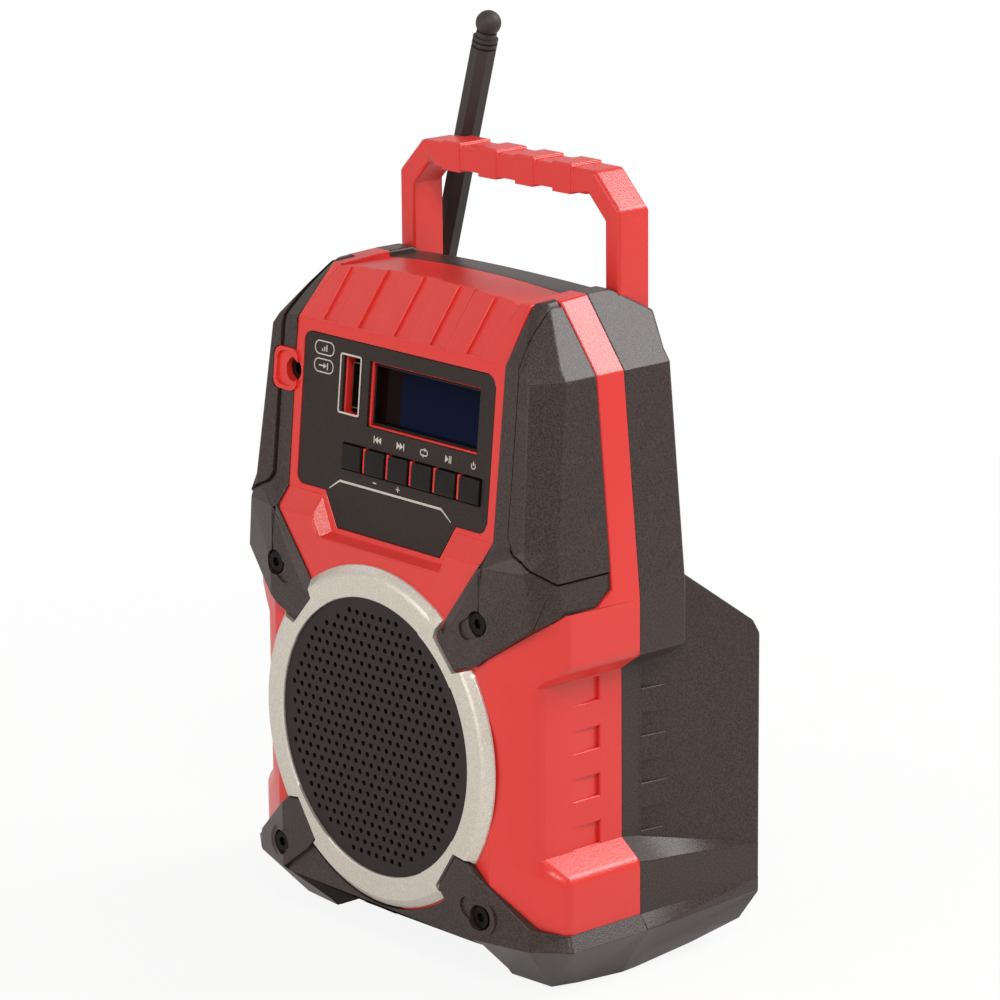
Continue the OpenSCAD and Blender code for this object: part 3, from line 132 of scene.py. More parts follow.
bpy.ops.object.select_all(action="DESELECT")
bpy.ops.mesh.primitive_circle_add(vertices=64, radius=4.0, fill_type="NGON",
                                  location=(0, 0, -0.2 * MM))
floor = bpy.context.object
floor.name = "floor"
floor_paper = bpy.data.materials.new("white_paper_sweep")
floor_paper.use_nodes = True
tree = floor_paper.node_tree
tree.nodes.clear()
rays = add_node(tree, "ShaderNodeLightPath")
paper = add_node(tree, "ShaderNodeBsdfDiffuse", None, {"Color": linear("#f2f0ee")})
glow = add_node(tree, "ShaderNodeEmission", None, {"Color": WHITE, "Strength": 1.0})
where = add_node(tree, "ShaderNodeTexCoord")
away = add_node(tree, "ShaderNodeVectorMath", {"operation": "LENGTH"},
                {0: where.outputs["Object"]})
run_out = add_node(tree, "ShaderNodeMapRange", None,
                   {"Value": away.outputs["Value"], "From Min": 0.1, "From Max": 0.6,
                    "To Min": 0.9, "To Max": 1.0})
seen = add_node(tree, "ShaderNodeMath", {"operation": "MAXIMUM"},
                {0: rays.outputs["Is Camera Ray"], 1: rays.outputs["Is Transmission Ray"]})
sheen = add_node(tree, "ShaderNodeMath", {"operation": "MULTIPLY"},
                 {0: rays.outputs["Is Glossy Ray"], 1: MIRRORED})
seen = add_node(tree, "ShaderNodeMath", {"operation": "MAXIMUM"},
                {0: seen.outputs[0], 1: sheen.outputs[0]})
share = add_node(tree, "ShaderNodeMath", {"operation": "MULTIPLY"},
                 {0: seen.outputs[0], 1: run_out.outputs[0]})
mixed = add_node(tree, "ShaderNodeMixShader", None,
                 {0: share.outputs[0], 1: paper.outputs[0], 2: glow.outputs[0]})
add_node(tree, "ShaderNodeOutputMaterial", None, {"Surface": mixed.outputs[0]})
floor.data.materials.append(floor_paper)


# Front shell. Injection-moulded red ABS with a satin, finely eroded skin: every outer
# edge is drawn with a soft radius, widest on the waist and the foot.
def start_material(name):
    made = bpy.data.materials.new(name)
    made.use_nodes = True
    made.node_tree.nodes.clear()
    return made, made.node_tree, add_node(made.node_tree, "ShaderNodeTexCoord").outputs["Object"]


# Satin red: a slow change of tone where the melt flowed, and a grain of 0.8 mm, drawn as
# coarse as it needs to show, that breaks the highlights on the bevels into sparkle.
red_abs, tree, where = start_material("moulded_red_abs")
flow = add_node(tree, "ShaderNodeTexNoise", None,
                {"Vector": where, "Scale": 1 / 0.045, "Detail": 2.0})
tone = add_node(tree, "ShaderNodeMix", {"data_type": "RGBA"},
                {0: flow.outputs["Fac"], 6: linear("#d72c26"), 7: linear("#e1342d")})
grain = add_node(tree, "ShaderNodeTexNoise", None,
                 {"Vector": where, "Scale": 1 / 0.0008, "Detail": 2.0, "Roughness": 0.6})
skin = add_node(tree, "ShaderNodeBump", None,
                {"Strength": 0.7, "Distance": 0.1 * MM, "Height": grain.outputs["Fac"]})
gloss = add_node(tree, "ShaderNodeMapRange", None,
                 {"Value": grain.outputs["Fac"], "To Min": 0.24, "To Max": 0.4})
shader = add_node(tree, "ShaderNodeBsdfPrincipled", None,
                  {"Base Color": tone.outputs[2], "Roughness": gloss.outputs[0], "IOR": 1.53,
                   "Normal": skin.outputs[0]})
add_node(tree, "ShaderNodeOutputMaterial", None, {"Surface": shader.outputs[0]})


FLAT = math.radians(0.5)     # faces that differ by less than this are made one
CREASE = math.radians(14)    # an edge that turns less than this isn't rounded
SMOOTH = math.radians(35)    # shading runs on across edges flatter than this
HIDDEN = 0.12                # metres; an edge that faces another wall this near stays sharp
ROOM_SHARE = 0.42            # of a face's width, so that two roundings never meet on it


def rounded_copy(name, node, radius, largest=None, shortest=0.8, hollows=False):
    """A copy of a CAD node with its outer edges rounded, standing for that node."""
    bpy.ops.object.select_all(action="DESELECT")
    source = frame["nodes"][node]
    piece = bpy.data.objects.new(name, source.data.copy())
    bpy.context.scene.collection.objects.link(piece)
    bpy.context.view_layer.objects.active = piece
    piece.select_set(True)
    bpy.ops.object.mode_set(mode="EDIT")
    bpy.ops.mesh.customdata_custom_splitnormals_clear()
    bpy.ops.mesh.select_all(action="SELECT")
    bpy.ops.mesh.remove_doubles(threshold=0.02 * MM)
    bpy.ops.mesh.dissolve_limited(angle_limit=FLAT)
    bpy.ops.mesh.select_all(action="SELECT")
    bpy.ops.mesh.vert_connect_concave()
    bpy.ops.object.mode_set(mode="OBJECT")
    mesh = piece.data
    faces_of = {}
    for face in mesh.polygons:
        for key in face.edge_keys:
            faces_of.setdefault(key, []).append(face)
    scene = bpy.context.scene
    graph = bpy.context.evaluated_depsgraph_get()
    top = largest or radius
    weight = mesh.attributes.new("bevel_weight_edge", "FLOAT", "EDGE")
    for edge in mesh.edges:
        a, b = (mesh.vertices[i].co for i in edge.vertices)
        pair = faces_of.get(edge.key, [])
        run = (b - a).length
        if len(pair) != 2 or run < shortest * MM:
            continue
        one, two = pair
        if one.normal.angle(two.normal, 0) < CREASE:
            continue
        if (two.center - one.center).dot(one.normal - two.normal) > 0 and not hollows:
            continue
        out = (one.normal + two.normal).normalized()
        if all(scene.ray_cast(graph, a.lerp(b, t) + out * 0.15 * MM, out, distance=HIDDEN)[0]
               for t in (0.1, 0.5, 0.9)):
            continue
        along = (b - a) / run
        room = run
        for face in pair:
            for i in face.vertices:
                if i not in edge.vertices:
                    step = mesh.vertices[i].co - a
                    at = min(max(step.dot(along), 0), run)
                    room = min(room, (step - along * at).length)
        wanted = (radius((a + b) / 2, out, along) if callable(radius) else radius) * MM
        weight.data[edge.index].value = min(wanted, ROOM_SHARE * room) / (top * MM)
    bevel = piece.modifiers.new("soft_edges", "BEVEL")
    bevel.limit_method = "WEIGHT"
    bevel.width = top * MM
    bevel.segments = 3
    bevel.use_clamp_overlap = False
    bpy.ops.object.modifier_apply(modifier="soft_edges")
    bpy.ops.object.shade_smooth_by_angle(angle=SMOOTH)
    even = piece.modifiers.new("even_normals", "WEIGHTED_NORMAL")
    even.keep_sharp = True
    bpy.ops.object.modifier_apply(modifier="even_normals")
    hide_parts(node)
    return piece


def dress(piece, material):
    piece.data.materials.clear()
    piece.data.materials.append(material)


def finish_piece(piece, material, body):
    dress(piece, material)
    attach(piece, body)


SEAM_Y = -4.45
SEAM_RADIUS = 0.2
WAIST_RADIUS = 2.2


def at_seam(place):
    return abs(place.y / MM - SEAM_Y) < 0.6


def red_radius(place, out, along):
    if at_seam(place):
        return SEAM_RADIUS
    if abs(place.x) > 50 * MM and place.z < 112 * MM:
        return WAIST_RADIUS
    return 0.5


finish_piece(rounded_copy("front_shell", "front_housing", red_radius, largest=WAIST_RADIUS),
             red_abs, "cabinet")

# Rear shell, guards and bumper. Charcoal ABS from a spark-eroded mould, screwed to the
# front shell; the guards and the bumper take the knocks at the corners.
# Charcoal: an even sparkling grain of half a millimetre on a dull warm grey.
grey_abs, tree, where = start_material("spark_eroded_charcoal_abs")
grain = add_node(tree, "ShaderNodeTexNoise", None,
                 {"Vector": where, "Scale": 1 / 0.0005, "Detail": 2.0, "Roughness": 0.6})
spread = add_node(tree, "ShaderNodeMapRange", None,
                  {"Value": grain.outputs["Fac"], "From Min": 0.35, "From Max": 0.65})
tone = add_node(tree, "ShaderNodeMix", {"data_type": "RGBA"},
                {0: spread.outputs[0], 6: linear("#251c1a"), 7: linear("#453733")})
skin = add_node(tree, "ShaderNodeBump", None,
                {"Strength": 0.8, "Distance": 0.1 * MM, "Height": grain.outputs["Fac"]})
gloss = add_node(tree, "ShaderNodeMapRange", None,
                 {"Value": grain.outputs["Fac"], "To Min": 0.28, "To Max": 0.46})
shader = add_node(tree, "ShaderNodeBsdfPrincipled", None,
                  {"Base Color": tone.outputs[2], "Roughness": gloss.outputs[0],
                   "Specular IOR Level": 0.35,
                   "Normal": skin.outputs[0]})
add_node(tree, "ShaderNodeOutputMaterial", None, {"Surface": shader.outputs[0]})


REAR_RADIUS = 0.9
ARM_RADIUS = 1.3


def rear_radius(place, out, along):
    return SEAM_RADIUS if at_seam(place) else REAR_RADIUS


def guard_radius(place, out, along):
    return ARM_RADIUS if abs(along.y) > 0.85 and abs(place.x) < 32 * MM else 0.5


def bumper_radius(place, out, along):
    return ARM_RADIUS if abs(along.y) > 0.85 and place.y < -34 * MM else 0.8


for name, node, width, most in (
        ("rear_shell", "rear_housing", rear_radius, REAR_RADIUS),
        ("left_guard", "side_guard_left", guard_radius, ARM_RADIUS),
        ("right_guard", "side_guard_right", guard_radius, ARM_RADIUS),
        ("foot_bumper", "bottom_bumper", bumper_radius, ARM_RADIUS)):
    finish_piece(rounded_copy(name, node, width, largest=most), grey_abs, "cabinet")

# Screws of the guards and the bumper. Pan heads with a hexagon socket, blackened, sunk in
# wells so deep that they read as dark holes.
# Blackened steel: an oil-black oxide, dull, with bare metal showing in tiny specks.
black_steel, tree, where = start_material("blackened_steel")
specks = add_node(tree, "ShaderNodeTexNoise", None,
                  {"Vector": where, "Scale": 1 / 0.0008, "Detail": 3.0})
tone = add_node(tree, "ShaderNodeMix", {"data_type": "RGBA"},
                {0: specks.outputs["Fac"], 6: linear("#0b0908"), 7: linear("#181413")})
gloss = add_node(tree, "ShaderNodeMapRange", None,
                 {"Value": specks.outputs["Fac"], "To Min": 0.4, "To Max": 0.6})
shader = add_node(tree, "ShaderNodeBsdfPrincipled", None,
                  {"Base Color": tone.outputs[2], "Metallic": 0.8, "Roughness": gloss.outputs[0]})
add_node(tree, "ShaderNodeOutputMaterial", None, {"Surface": shader.outputs[0]})
dress(frame["nodes"]["guard_screws"], black_steel)

# Other screws, the driver's basket and the aerial's pin. Zinc-plated steel, turned or
# pressed, hidden inside or at the back.
# Zinc plate: a cool grey metal with cloudy patches of duller crystals.
zinc_steel, tree, where = start_material("zinc_plated_steel")
cloud = add_node(tree, "ShaderNodeTexNoise", None,
                 {"Vector": where, "Scale": 1 / 0.004, "Detail": 4.0})
tone = add_node(tree, "ShaderNodeMix", {"data_type": "RGBA"},
                {0: cloud.outputs["Fac"], 6: linear("#8f8d8a"), 7: linear("#b4b2ae")})
gloss = add_node(tree, "ShaderNodeMapRange", None,
                 {"Value": cloud.outputs["Fac"], "To Min": 0.28, "To Max": 0.46})
shader = add_node(tree, "ShaderNodeBsdfPrincipled", None,
                  {"Base Color": tone.outputs[2], "Metallic": 1.0, "Roughness": gloss.outputs[0]})
add_node(tree, "ShaderNodeOutputMaterial", None, {"Surface": shader.outputs[0]})
for node in ("driver_basket", "driver_screws", "board_screws", "handle_screws", "antenna_pin",
             "housing_screws"):
    dress(frame["nodes"][node], zinc_steel)

# Trim ring. Moulded ABS sprayed with silver lacquer, snapped round the grille, with a
# broad outer bevel and a thin inner edge.
# Silver lacquer: fine metal flakes of a few tenths of a millimetre under a satin clear coat.
silver_lacquer, tree, where = start_material("silver_lacquered_abs")
flakes = add_node(tree, "ShaderNodeTexVoronoi", None, {"Vector": where, "Scale": 1 / 0.0003})
tone = add_node(tree, "ShaderNodeMix", {"data_type": "RGBA"},
                {0: flakes.outputs["Color"], 6: linear("#c2bbb1"), 7: linear("#e0dad1")})
grain = add_node(tree, "ShaderNodeTexNoise", None,
                 {"Vector": where, "Scale": 1 / 0.0006, "Detail": 2.0})
skin = add_node(tree, "ShaderNodeBump", None,
                {"Strength": 0.25, "Distance": 0.04 * MM, "Height": grain.outputs["Fac"]})
gloss = add_node(tree, "ShaderNodeMapRange", None,
                 {"Value": flakes.outputs["Distance"], "To Min": 0.3, "To Max": 0.48})
shader = add_node(tree, "ShaderNodeBsdfPrincipled", None,
                  {"Base Color": tone.outputs[2], "Metallic": 0.55, "Roughness": gloss.outputs[0],
                   "Normal": skin.outputs[0]})
add_node(tree, "ShaderNodeOutputMaterial", None, {"Surface": shader.outputs[0]})
SPEAKER_Z = 64.5
RING_RADIUS = 1.3


def ring_radius(place, out, along):
    arm = Vector((place.x, 0, place.z - SPEAKER_Z * MM))
    turn = math.degrees(math.atan2(abs(arm.z), abs(arm.x)))
    if abs(along.dot(arm.normalized())) > 0.2 or abs(along.y) > 0.2 or 32 < turn < 60:
        return 0
    return RING_RADIUS if arm.length > 44 * MM else 0.5


finish_piece(rounded_copy("trim_ring", "speaker_ring", ring_radius, largest=RING_RADIUS),
             silver_lacquer, "cabinet")

# Grille. A steel disc punched with rows of round holes and powder-coated black, held at
# its rim by the ring's lip.
# Powder coat: near-black with a faint orange-peel that catches a dull sheen.
powder_coat, tree, where = start_material("powder_coated_steel")
peel = add_node(tree, "ShaderNodeTexNoise", None,
                {"Vector": where, "Scale": 1 / 0.0008, "Detail": 2.0})
tone = add_node(tree, "ShaderNodeMix", {"data_type": "RGBA"},
                {0: peel.outputs["Fac"], 6: linear("#18100e"), 7: linear("#221815")})
skin = add_node(tree, "ShaderNodeBump", None,
                {"Strength": 0.3, "Distance": 0.06 * MM, "Height": peel.outputs["Fac"]})
gloss = add_node(tree, "ShaderNodeMapRange", None,
                 {"Value": peel.outputs["Fac"], "To Min": 0.38, "To Max": 0.55})
shader = add_node(tree, "ShaderNodeBsdfPrincipled", None,
                  {"Base Color": tone.outputs[2], "Roughness": gloss.outputs[0],
                   "Specular IOR Level": 0.28,
                   "Normal": skin.outputs[0]})
add_node(tree, "ShaderNodeOutputMaterial", None, {"Surface": shader.outputs[0]})
dress(frame["nodes"]["speaker_grille"], powder_coat)

# Driver. A paper cone and dust cap on a rubber surround, in front of a ferrite magnet;
# a rubber gasket seals it against the shell.
# Paper pulp: matt black, felted, with fibres a millimetre or two long.
paper_pulp, tree, where = start_material("pressed_paper_pulp")
fibre = add_node(tree, "ShaderNodeTexNoise", None,
                 {"Vector": where, "Scale": 1 / 0.0015, "Detail": 6.0, "Roughness": 0.7})
tone = add_node(tree, "ShaderNodeMix", {"data_type": "RGBA"},
                {0: fibre.outputs["Fac"], 6: linear("#191614"), 7: linear("#2b2725")})
skin = add_node(tree, "ShaderNodeBump", None,
                {"Strength": 0.5, "Distance": 0.1 * MM, "Height": fibre.outputs["Fac"]})
shader = add_node(tree, "ShaderNodeBsdfPrincipled", None,
                  {"Base Color": tone.outputs[2], "Roughness": 0.9, "Normal": skin.outputs[0]})
add_node(tree, "ShaderNodeOutputMaterial", None, {"Surface": shader.outputs[0]})
for node in ("driver_cone", "dust_cap"):
    dress(frame["nodes"][node], paper_pulp)
# Rubber: matt black-brown with a faint bloom, as on the aerial's sleeve.
black_rubber, tree, where = start_material("moulded_black_rubber")
bloom = add_node(tree, "ShaderNodeTexNoise", None,
                 {"Vector": where, "Scale": 1 / 0.012, "Detail": 4.0})
tone = add_node(tree, "ShaderNodeMix", {"data_type": "RGBA"},
                {0: bloom.outputs["Fac"], 6: linear("#261f1d"), 7: linear("#332b28")})
fine = add_node(tree, "ShaderNodeTexNoise", None,
                {"Vector": where, "Scale": 1 / 0.0007, "Detail": 2.0})
skin = add_node(tree, "ShaderNodeBump", None,
                {"Strength": 0.3, "Distance": 0.05 * MM, "Height": fine.outputs["Fac"]})
gloss = add_node(tree, "ShaderNodeMapRange", None,
                 {"Value": bloom.outputs["Fac"], "To Min": 0.5, "To Max": 0.68})
shader = add_node(tree, "ShaderNodeBsdfPrincipled", None,
                  {"Base Color": tone.outputs[2], "Roughness": gloss.outputs[0], "IOR": 1.52,
                   "Normal": skin.outputs[0]})
add_node(tree, "ShaderNodeOutputMaterial", None, {"Surface": shader.outputs[0]})
for node in ("speaker_gasket", "driver_surround"):
    dress(frame["nodes"][node], black_rubber)
# Ferrite: a dark sintered ceramic, slightly speckled.
ferrite, tree, where = start_material("sintered_ferrite")
specks = add_node(tree, "ShaderNodeTexNoise", None,
                  {"Vector": where, "Scale": 1 / 0.001, "Detail": 5.0})
tone = add_node(tree, "ShaderNodeMix", {"data_type": "RGBA"},
                {0: specks.outputs["Fac"], 6: linear("#2b2927"), 7: linear("#45423f")})
shader = add_node(tree, "ShaderNodeBsdfPrincipled", None,
                  {"Base Color": tone.outputs[2], "Roughness": 0.62})
add_node(tree, "ShaderNodeOutputMaterial", None, {"Surface": shader.outputs[0]})
dress(frame["nodes"]["driver_magnet"], ferrite)

# Faceplate. A charcoal ABS plate laid in the front shell's bed, with openings for the
# display, the USB slot and the keys. The battery and the aerial's mount are of the same.
# Fine charcoal: a darker warm grey than the guards', with a shallower and duller grain.
fine_grey_abs, tree, where = start_material("fine_grained_charcoal_abs")
grain = add_node(tree, "ShaderNodeTexNoise", None,
                 {"Vector": where, "Scale": 1 / 0.0005, "Detail": 2.0, "Roughness": 0.65})
spread = add_node(tree, "ShaderNodeMapRange", None,
                  {"Value": grain.outputs["Fac"], "From Min": 0.35, "From Max": 0.65})
tone = add_node(tree, "ShaderNodeMix", {"data_type": "RGBA"},
                {0: spread.outputs[0], 6: linear("#201815"), 7: linear("#2f2420")})
skin = add_node(tree, "ShaderNodeBump", None,
                {"Strength": 0.5, "Distance": 0.07 * MM, "Height": grain.outputs["Fac"]})
gloss = add_node(tree, "ShaderNodeMapRange", None,
                 {"Value": grain.outputs["Fac"], "To Min": 0.42, "To Max": 0.6})
shader = add_node(tree, "ShaderNodeBsdfPrincipled", None,
                  {"Base Color": tone.outputs[2], "Roughness": gloss.outputs[0],
                   "Specular IOR Level": 0.24,
                   "Normal": skin.outputs[0]})
add_node(tree, "ShaderNodeOutputMaterial", None, {"Surface": shader.outputs[0]})
finish_piece(rounded_copy("faceplate", "control_panel", 0.25, shortest=0.4),
             fine_grey_abs, "cabinet")

# Printed marks. Pale ink laid on the faceplate by pad printing, a few hundredths of a
# millimetre thick: frames, the symbols above the keys and the line over the plate's foot.
LEAN_SIN, LEAN_COS = 0.09758, 0.99523
SIGN_Y, SIGN_H = -26.1, 2.1
BADGE_X, BADGE_YS = -32.15, (-3.95, -9.05)
POWER_X = 34
FOOT_LINE_Y, FOOT_LINE_END = -40.4, (4.4, -2.9)
plate_frame = Matrix.Translation(Vector((0, -34.05, 174.2)) * MM) @ Matrix(
    ((1, 0, 0), (0, LEAN_SIN, LEAN_COS), (0, -LEAN_COS, LEAN_SIN))).transposed().to_4x4()
to_plate = plate_frame.inverted()
plate_face = max((to_plate @ v.co).z for v in frame["nodes"]["control_panel"].data.vertices)
bpy.ops.object.select_all(action="DESELECT")
marks = bpy.data.objects.new("printed_marks", bpy.data.meshes.new("printed_marks"))
bpy.context.scene.collection.objects.link(marks)
bpy.context.view_layer.objects.active = marks
marks.select_set(True)
bpy.ops.object.mode_set(mode="EDIT")


def ink_bar(x, y, w, h):
    bpy.ops.mesh.primitive_plane_add(size=MM, location=(x * MM, y * MM, 0))
    bpy.ops.transform.resize(value=(w, h, 1), center_override=(x * MM, y * MM, 0))


def pick(keep, among_all=False):
    """Selects the vertices that pass, in plate millimetres, out of those selected or of all."""
    ink = bmesh.from_edit_mesh(marks.data)
    for v in ink.verts:
        v.select = (among_all or v.select) and keep(v.co.x / MM, v.co.y / MM)
    ink.select_flush(False)
    ink.select_flush_mode()
    bmesh.update_edit_mesh(marks.data)


def ink_frame(x, y, w, h, corner, line):
    ink_bar(x, y, w, h)
    bpy.ops.mesh.bevel(offset=corner * MM, segments=6, affect="VERTICES")
    bpy.ops.mesh.select_linked()
    bpy.ops.mesh.inset(thickness=line * MM)
    bpy.ops.mesh.delete(type="FACE")


def ink_arrow(x, y, w, h, way):
    ink_bar(x, y, w, h)
    pick(lambda px, py: (px - x) * way > 0)
    bpy.ops.mesh.merge(type="CENTER")


# Two rounded badges with signal bars and an arrow to a stop, and the frame of the slot.
for y in BADGE_YS:
    ink_frame(BADGE_X, y, 8.7, 4.1, 2.0, 0.35)
for step, tall in enumerate((0.7, 1.3, 1.9)):
    ink_bar(-33.1 + 0.95 * step, -4.9 + tall / 2, 0.45, tall)
ink_bar(-33.2, BADGE_YS[1], 2.2, 0.4)
ink_arrow(-31.6, BADGE_YS[1], 1.3, 1.6, 1)
ink_bar(-30.5, BADGE_YS[1], 0.4, 2.0)
ink_frame(-20.3, -12.55, 9.4, 17.3, 0.9, 0.55)
# The signs over the keys: back, forward, play and pause, repeat, power.
for x in (-8.3, 4.55, 23.95, 24.6):
    ink_bar(x, SIGN_Y, 0.35, SIGN_H)
for x, wide, way in ((-7.3, 1.45, -1), (-5.95, 1.45, -1), (2.2, 1.45, 1), (3.55, 1.45, 1),
                     (22.9, 1.3, 1)):
    ink_arrow(x, SIGN_Y, wide, SIGN_H, way)
ink_frame(13.2, SIGN_Y, 3.3, 1.9, 0.93, 0.32)
ink_arrow(13.8, SIGN_Y + 0.85, 0.9, 1.1, 1)
ink_arrow(12.6, SIGN_Y - 0.85, 0.9, 1.1, -1)
bpy.ops.mesh.primitive_circle_add(vertices=40, radius=0.95 * MM, fill_type="NGON",
                                  location=(POWER_X * MM, SIGN_Y * MM, 0))
bpy.ops.mesh.inset(thickness=0.3 * MM)
bpy.ops.mesh.delete(type="FACE")
ink = bmesh.from_edit_mesh(marks.data)
middles = [(f, f.calc_center_median() / MM) for f in ink.faces]
bmesh.ops.delete(ink, geom=[f for f, middle in middles if abs(middle.x - POWER_X) < 0.42
                            and -25.8 < middle.y < -25.0], context="FACES")
bmesh.update_edit_mesh(marks.data)
ink_bar(POWER_X, SIGN_Y + 0.65, 0.32, 1.2)
# A minus and a plus under two of the keys, and the line over the plate's foot, with its
# ends bent down.
for x, tall in ((-7, 0.0), (3.1, 1.5)):
    ink_bar(x, -38.4, 1.5, 0.34)
    if tall:
        ink_bar(x, -38.4, 0.34, tall)
ink_bar(-0.2, FOOT_LINE_Y, 44, 0.65)
for end, way in ((21.8, 1), (-22.2, -1)):
    reach, drop = FOOT_LINE_END
    pick(lambda px, py: abs(px - end) < 0.01 and abs(py - FOOT_LINE_Y) < 0.5, among_all=True)
    bpy.ops.mesh.extrude_region_move(
        TRANSFORM_OT_translate={"value": (way * reach * MM, drop * MM, 0)})
    bpy.ops.transform.resize(
        value=(1, 0.45, 1),
        center_override=((end + way * reach) * MM, (FOOT_LINE_Y + drop) * MM, 0))
bpy.ops.mesh.select_all(action="SELECT")
bpy.ops.mesh.extrude_region_move(TRANSFORM_OT_translate={"value": (0, 0, 0.06 * MM)})
bpy.ops.mesh.select_all(action="SELECT")
bpy.ops.mesh.normals_make_consistent(inside=False)
bpy.ops.object.mode_set(mode="OBJECT")
marks.matrix_world = plate_frame @ Matrix.Translation((0, 0, plate_face - 0.02 * MM))
bpy.ops.object.transform_apply(location=True, rotation=True, scale=True)
# Ink: an even warm white, a touch thin where the plate's grain shows through.
pad_ink, tree, where = start_material("pad_printed_ink")
thin = add_node(tree, "ShaderNodeTexNoise", None,
                {"Vector": where, "Scale": 1 / 0.0006, "Detail": 2.0})
tone = add_node(tree, "ShaderNodeMix", {"data_type": "RGBA"},
                {0: thin.outputs["Fac"], 6: linear("#b3aaa3"), 7: linear("#d8d1ca")})
shader = add_node(tree, "ShaderNodeBsdfPrincipled", None,
                  {"Base Color": tone.outputs[2], "Roughness": 0.55})
add_node(tree, "ShaderNodeOutputMaterial", None, {"Surface": shader.outputs[0]})
finish_piece(marks, pad_ink, "cabinet")

# Display. A liquid-crystal module behind a flat acrylic lens, sunk in the shell's window
# so that its red lip shows round it.
# Acrylic over the unlit panel: deep navy, a little lighter towards the bottom, with the module's
# black border on the left painted dark maroon as a reflection of the red lip; the surface is
# polished and the edge of the panel is a soft step.
display_acrylic, tree, where = start_material("polished_acrylic_over_display")
split = add_node(tree, "ShaderNodeSeparateXYZ", None, {"Vector": where})
# Left of about x = -2 mm the lens is painted dark maroon: the module's real black border with a
# painted reflection of the red lip on it.
border_and_lip_reflection = add_node(tree, "ShaderNodeMapRange", {"interpolation_type": "SMOOTHSTEP"},
                  {"Value": split.outputs["X"], "From Min": -2.6 * MM, "From Max": -1.4 * MM})
fade = add_node(tree, "ShaderNodeMapRange", None,
                {"Value": split.outputs["Z"], "From Min": 150 * MM, "From Max": 171 * MM})
navy = add_node(tree, "ShaderNodeMix", {"data_type": "RGBA"},
                {0: fade.outputs[0], 6: linear("#0b1430"), 7: linear("#070d22")})
tone = add_node(tree, "ShaderNodeMix", {"data_type": "RGBA"},
                {0: border_and_lip_reflection.outputs[0], 6: linear("#160708"), 7: navy.outputs[2]})
dust = add_node(tree, "ShaderNodeTexNoise", None,
                {"Vector": where, "Scale": 1 / 0.006, "Detail": 3.0})
gloss = add_node(tree, "ShaderNodeMapRange", None,
                 {"Value": dust.outputs["Fac"], "To Min": 0.03, "To Max": 0.1})
shader = add_node(tree, "ShaderNodeBsdfPrincipled", None,
                  {"Base Color": tone.outputs[2], "Roughness": gloss.outputs[0], "IOR": 1.49,
                   "Specular IOR Level": 0.03})
add_node(tree, "ShaderNodeOutputMaterial", None, {"Surface": shader.outputs[0]})
dress(frame["nodes"]["display_lens"], display_acrylic)
# Module, switches and board parts: dark epoxy and tinned frames, flecked with glass fibre.
dark_epoxy, tree, where = start_material("filled_dark_epoxy")
fleck = add_node(tree, "ShaderNodeTexNoise", None,
                 {"Vector": where, "Scale": 1 / 0.0009, "Detail": 4.0})
tone = add_node(tree, "ShaderNodeMix", {"data_type": "RGBA"},
                {0: fleck.outputs["Fac"], 6: linear("#1e1f22"), 7: linear("#34363a")})
shader = add_node(tree, "ShaderNodeBsdfPrincipled", None,
                  {"Base Color": tone.outputs[2], "Roughness": 0.55})
add_node(tree, "ShaderNodeOutputMaterial", None, {"Surface": shader.outputs[0]})
for node in ("display_module", "key_switches", "board_parts"):
    dress(frame["nodes"][node], dark_epoxy)

# USB socket. A shell folded from plated strip round a tongue, standing upright behind its
# window in the faceplate.
# Nickel plate: warm, fairly bright, with the drag lines of the folding tool.
nickel, tree, where = start_material("nickel_plated_brass")
drag = add_node(tree, "ShaderNodeMapping", None, {"Vector": where, "Scale": (1, 1, 0.08)})
lines = add_node(tree, "ShaderNodeTexNoise", None,
                 {"Vector": drag.outputs[0], "Scale": 1 / 0.0005, "Detail": 2.0})
tone = add_node(tree, "ShaderNodeMix", {"data_type": "RGBA"},
                {0: lines.outputs["Fac"], 6: linear("#6d5f50"), 7: linear("#8f7f6c")})
gloss = add_node(tree, "ShaderNodeMapRange", None,
                 {"Value": lines.outputs["Fac"], "To Min": 0.25, "To Max": 0.45})
shader = add_node(tree, "ShaderNodeBsdfPrincipled", None,
                  {"Base Color": tone.outputs[2], "Metallic": 1.0, "Roughness": gloss.outputs[0]})
add_node(tree, "ShaderNodeOutputMaterial", None, {"Surface": shader.outputs[0]})
dress(frame["nodes"]["usb_socket"], nickel)

# Keys and the aux bush. Black ABS keys in one row, each on its own switch, with softly
# broken edges; the bush of the 3.5 mm socket is turned from the same plastic.
# Polished black ABS: nearly black, semi-gloss, with a faint ripple from the mould.
gloss_black, tree, where = start_material("semi_gloss_black_abs")
ripple = add_node(tree, "ShaderNodeTexNoise", None,
                  {"Vector": where, "Scale": 1 / 0.003, "Detail": 3.0})
tone = add_node(tree, "ShaderNodeMix", {"data_type": "RGBA"},
                {0: ripple.outputs["Fac"], 6: linear("#0f0b0a"), 7: linear("#191412")})
gloss = add_node(tree, "ShaderNodeMapRange", None,
                 {"Value": ripple.outputs["Fac"], "To Min": 0.3, "To Max": 0.44})
shader = add_node(tree, "ShaderNodeBsdfPrincipled", None,
                  {"Base Color": tone.outputs[2], "Roughness": gloss.outputs[0],
                   "Specular IOR Level": 0.17})
add_node(tree, "ShaderNodeOutputMaterial", None, {"Surface": shader.outputs[0]})


KEY_TOP_RADIUS = 0.9


def key_radius(place, out, along):
    return KEY_TOP_RADIUS if out.z > 0.5 else 0.5


for key in ("mode", "previous", "next", "repeat", "play", "power"):
    keycap = rounded_copy(key + "_key", "button_" + key, key_radius,
                          largest=KEY_TOP_RADIUS, shortest=0.4)
    finish_piece(keycap, gloss_black, "key_" + key)
dress(frame["nodes"]["aux_socket"], gloss_black)
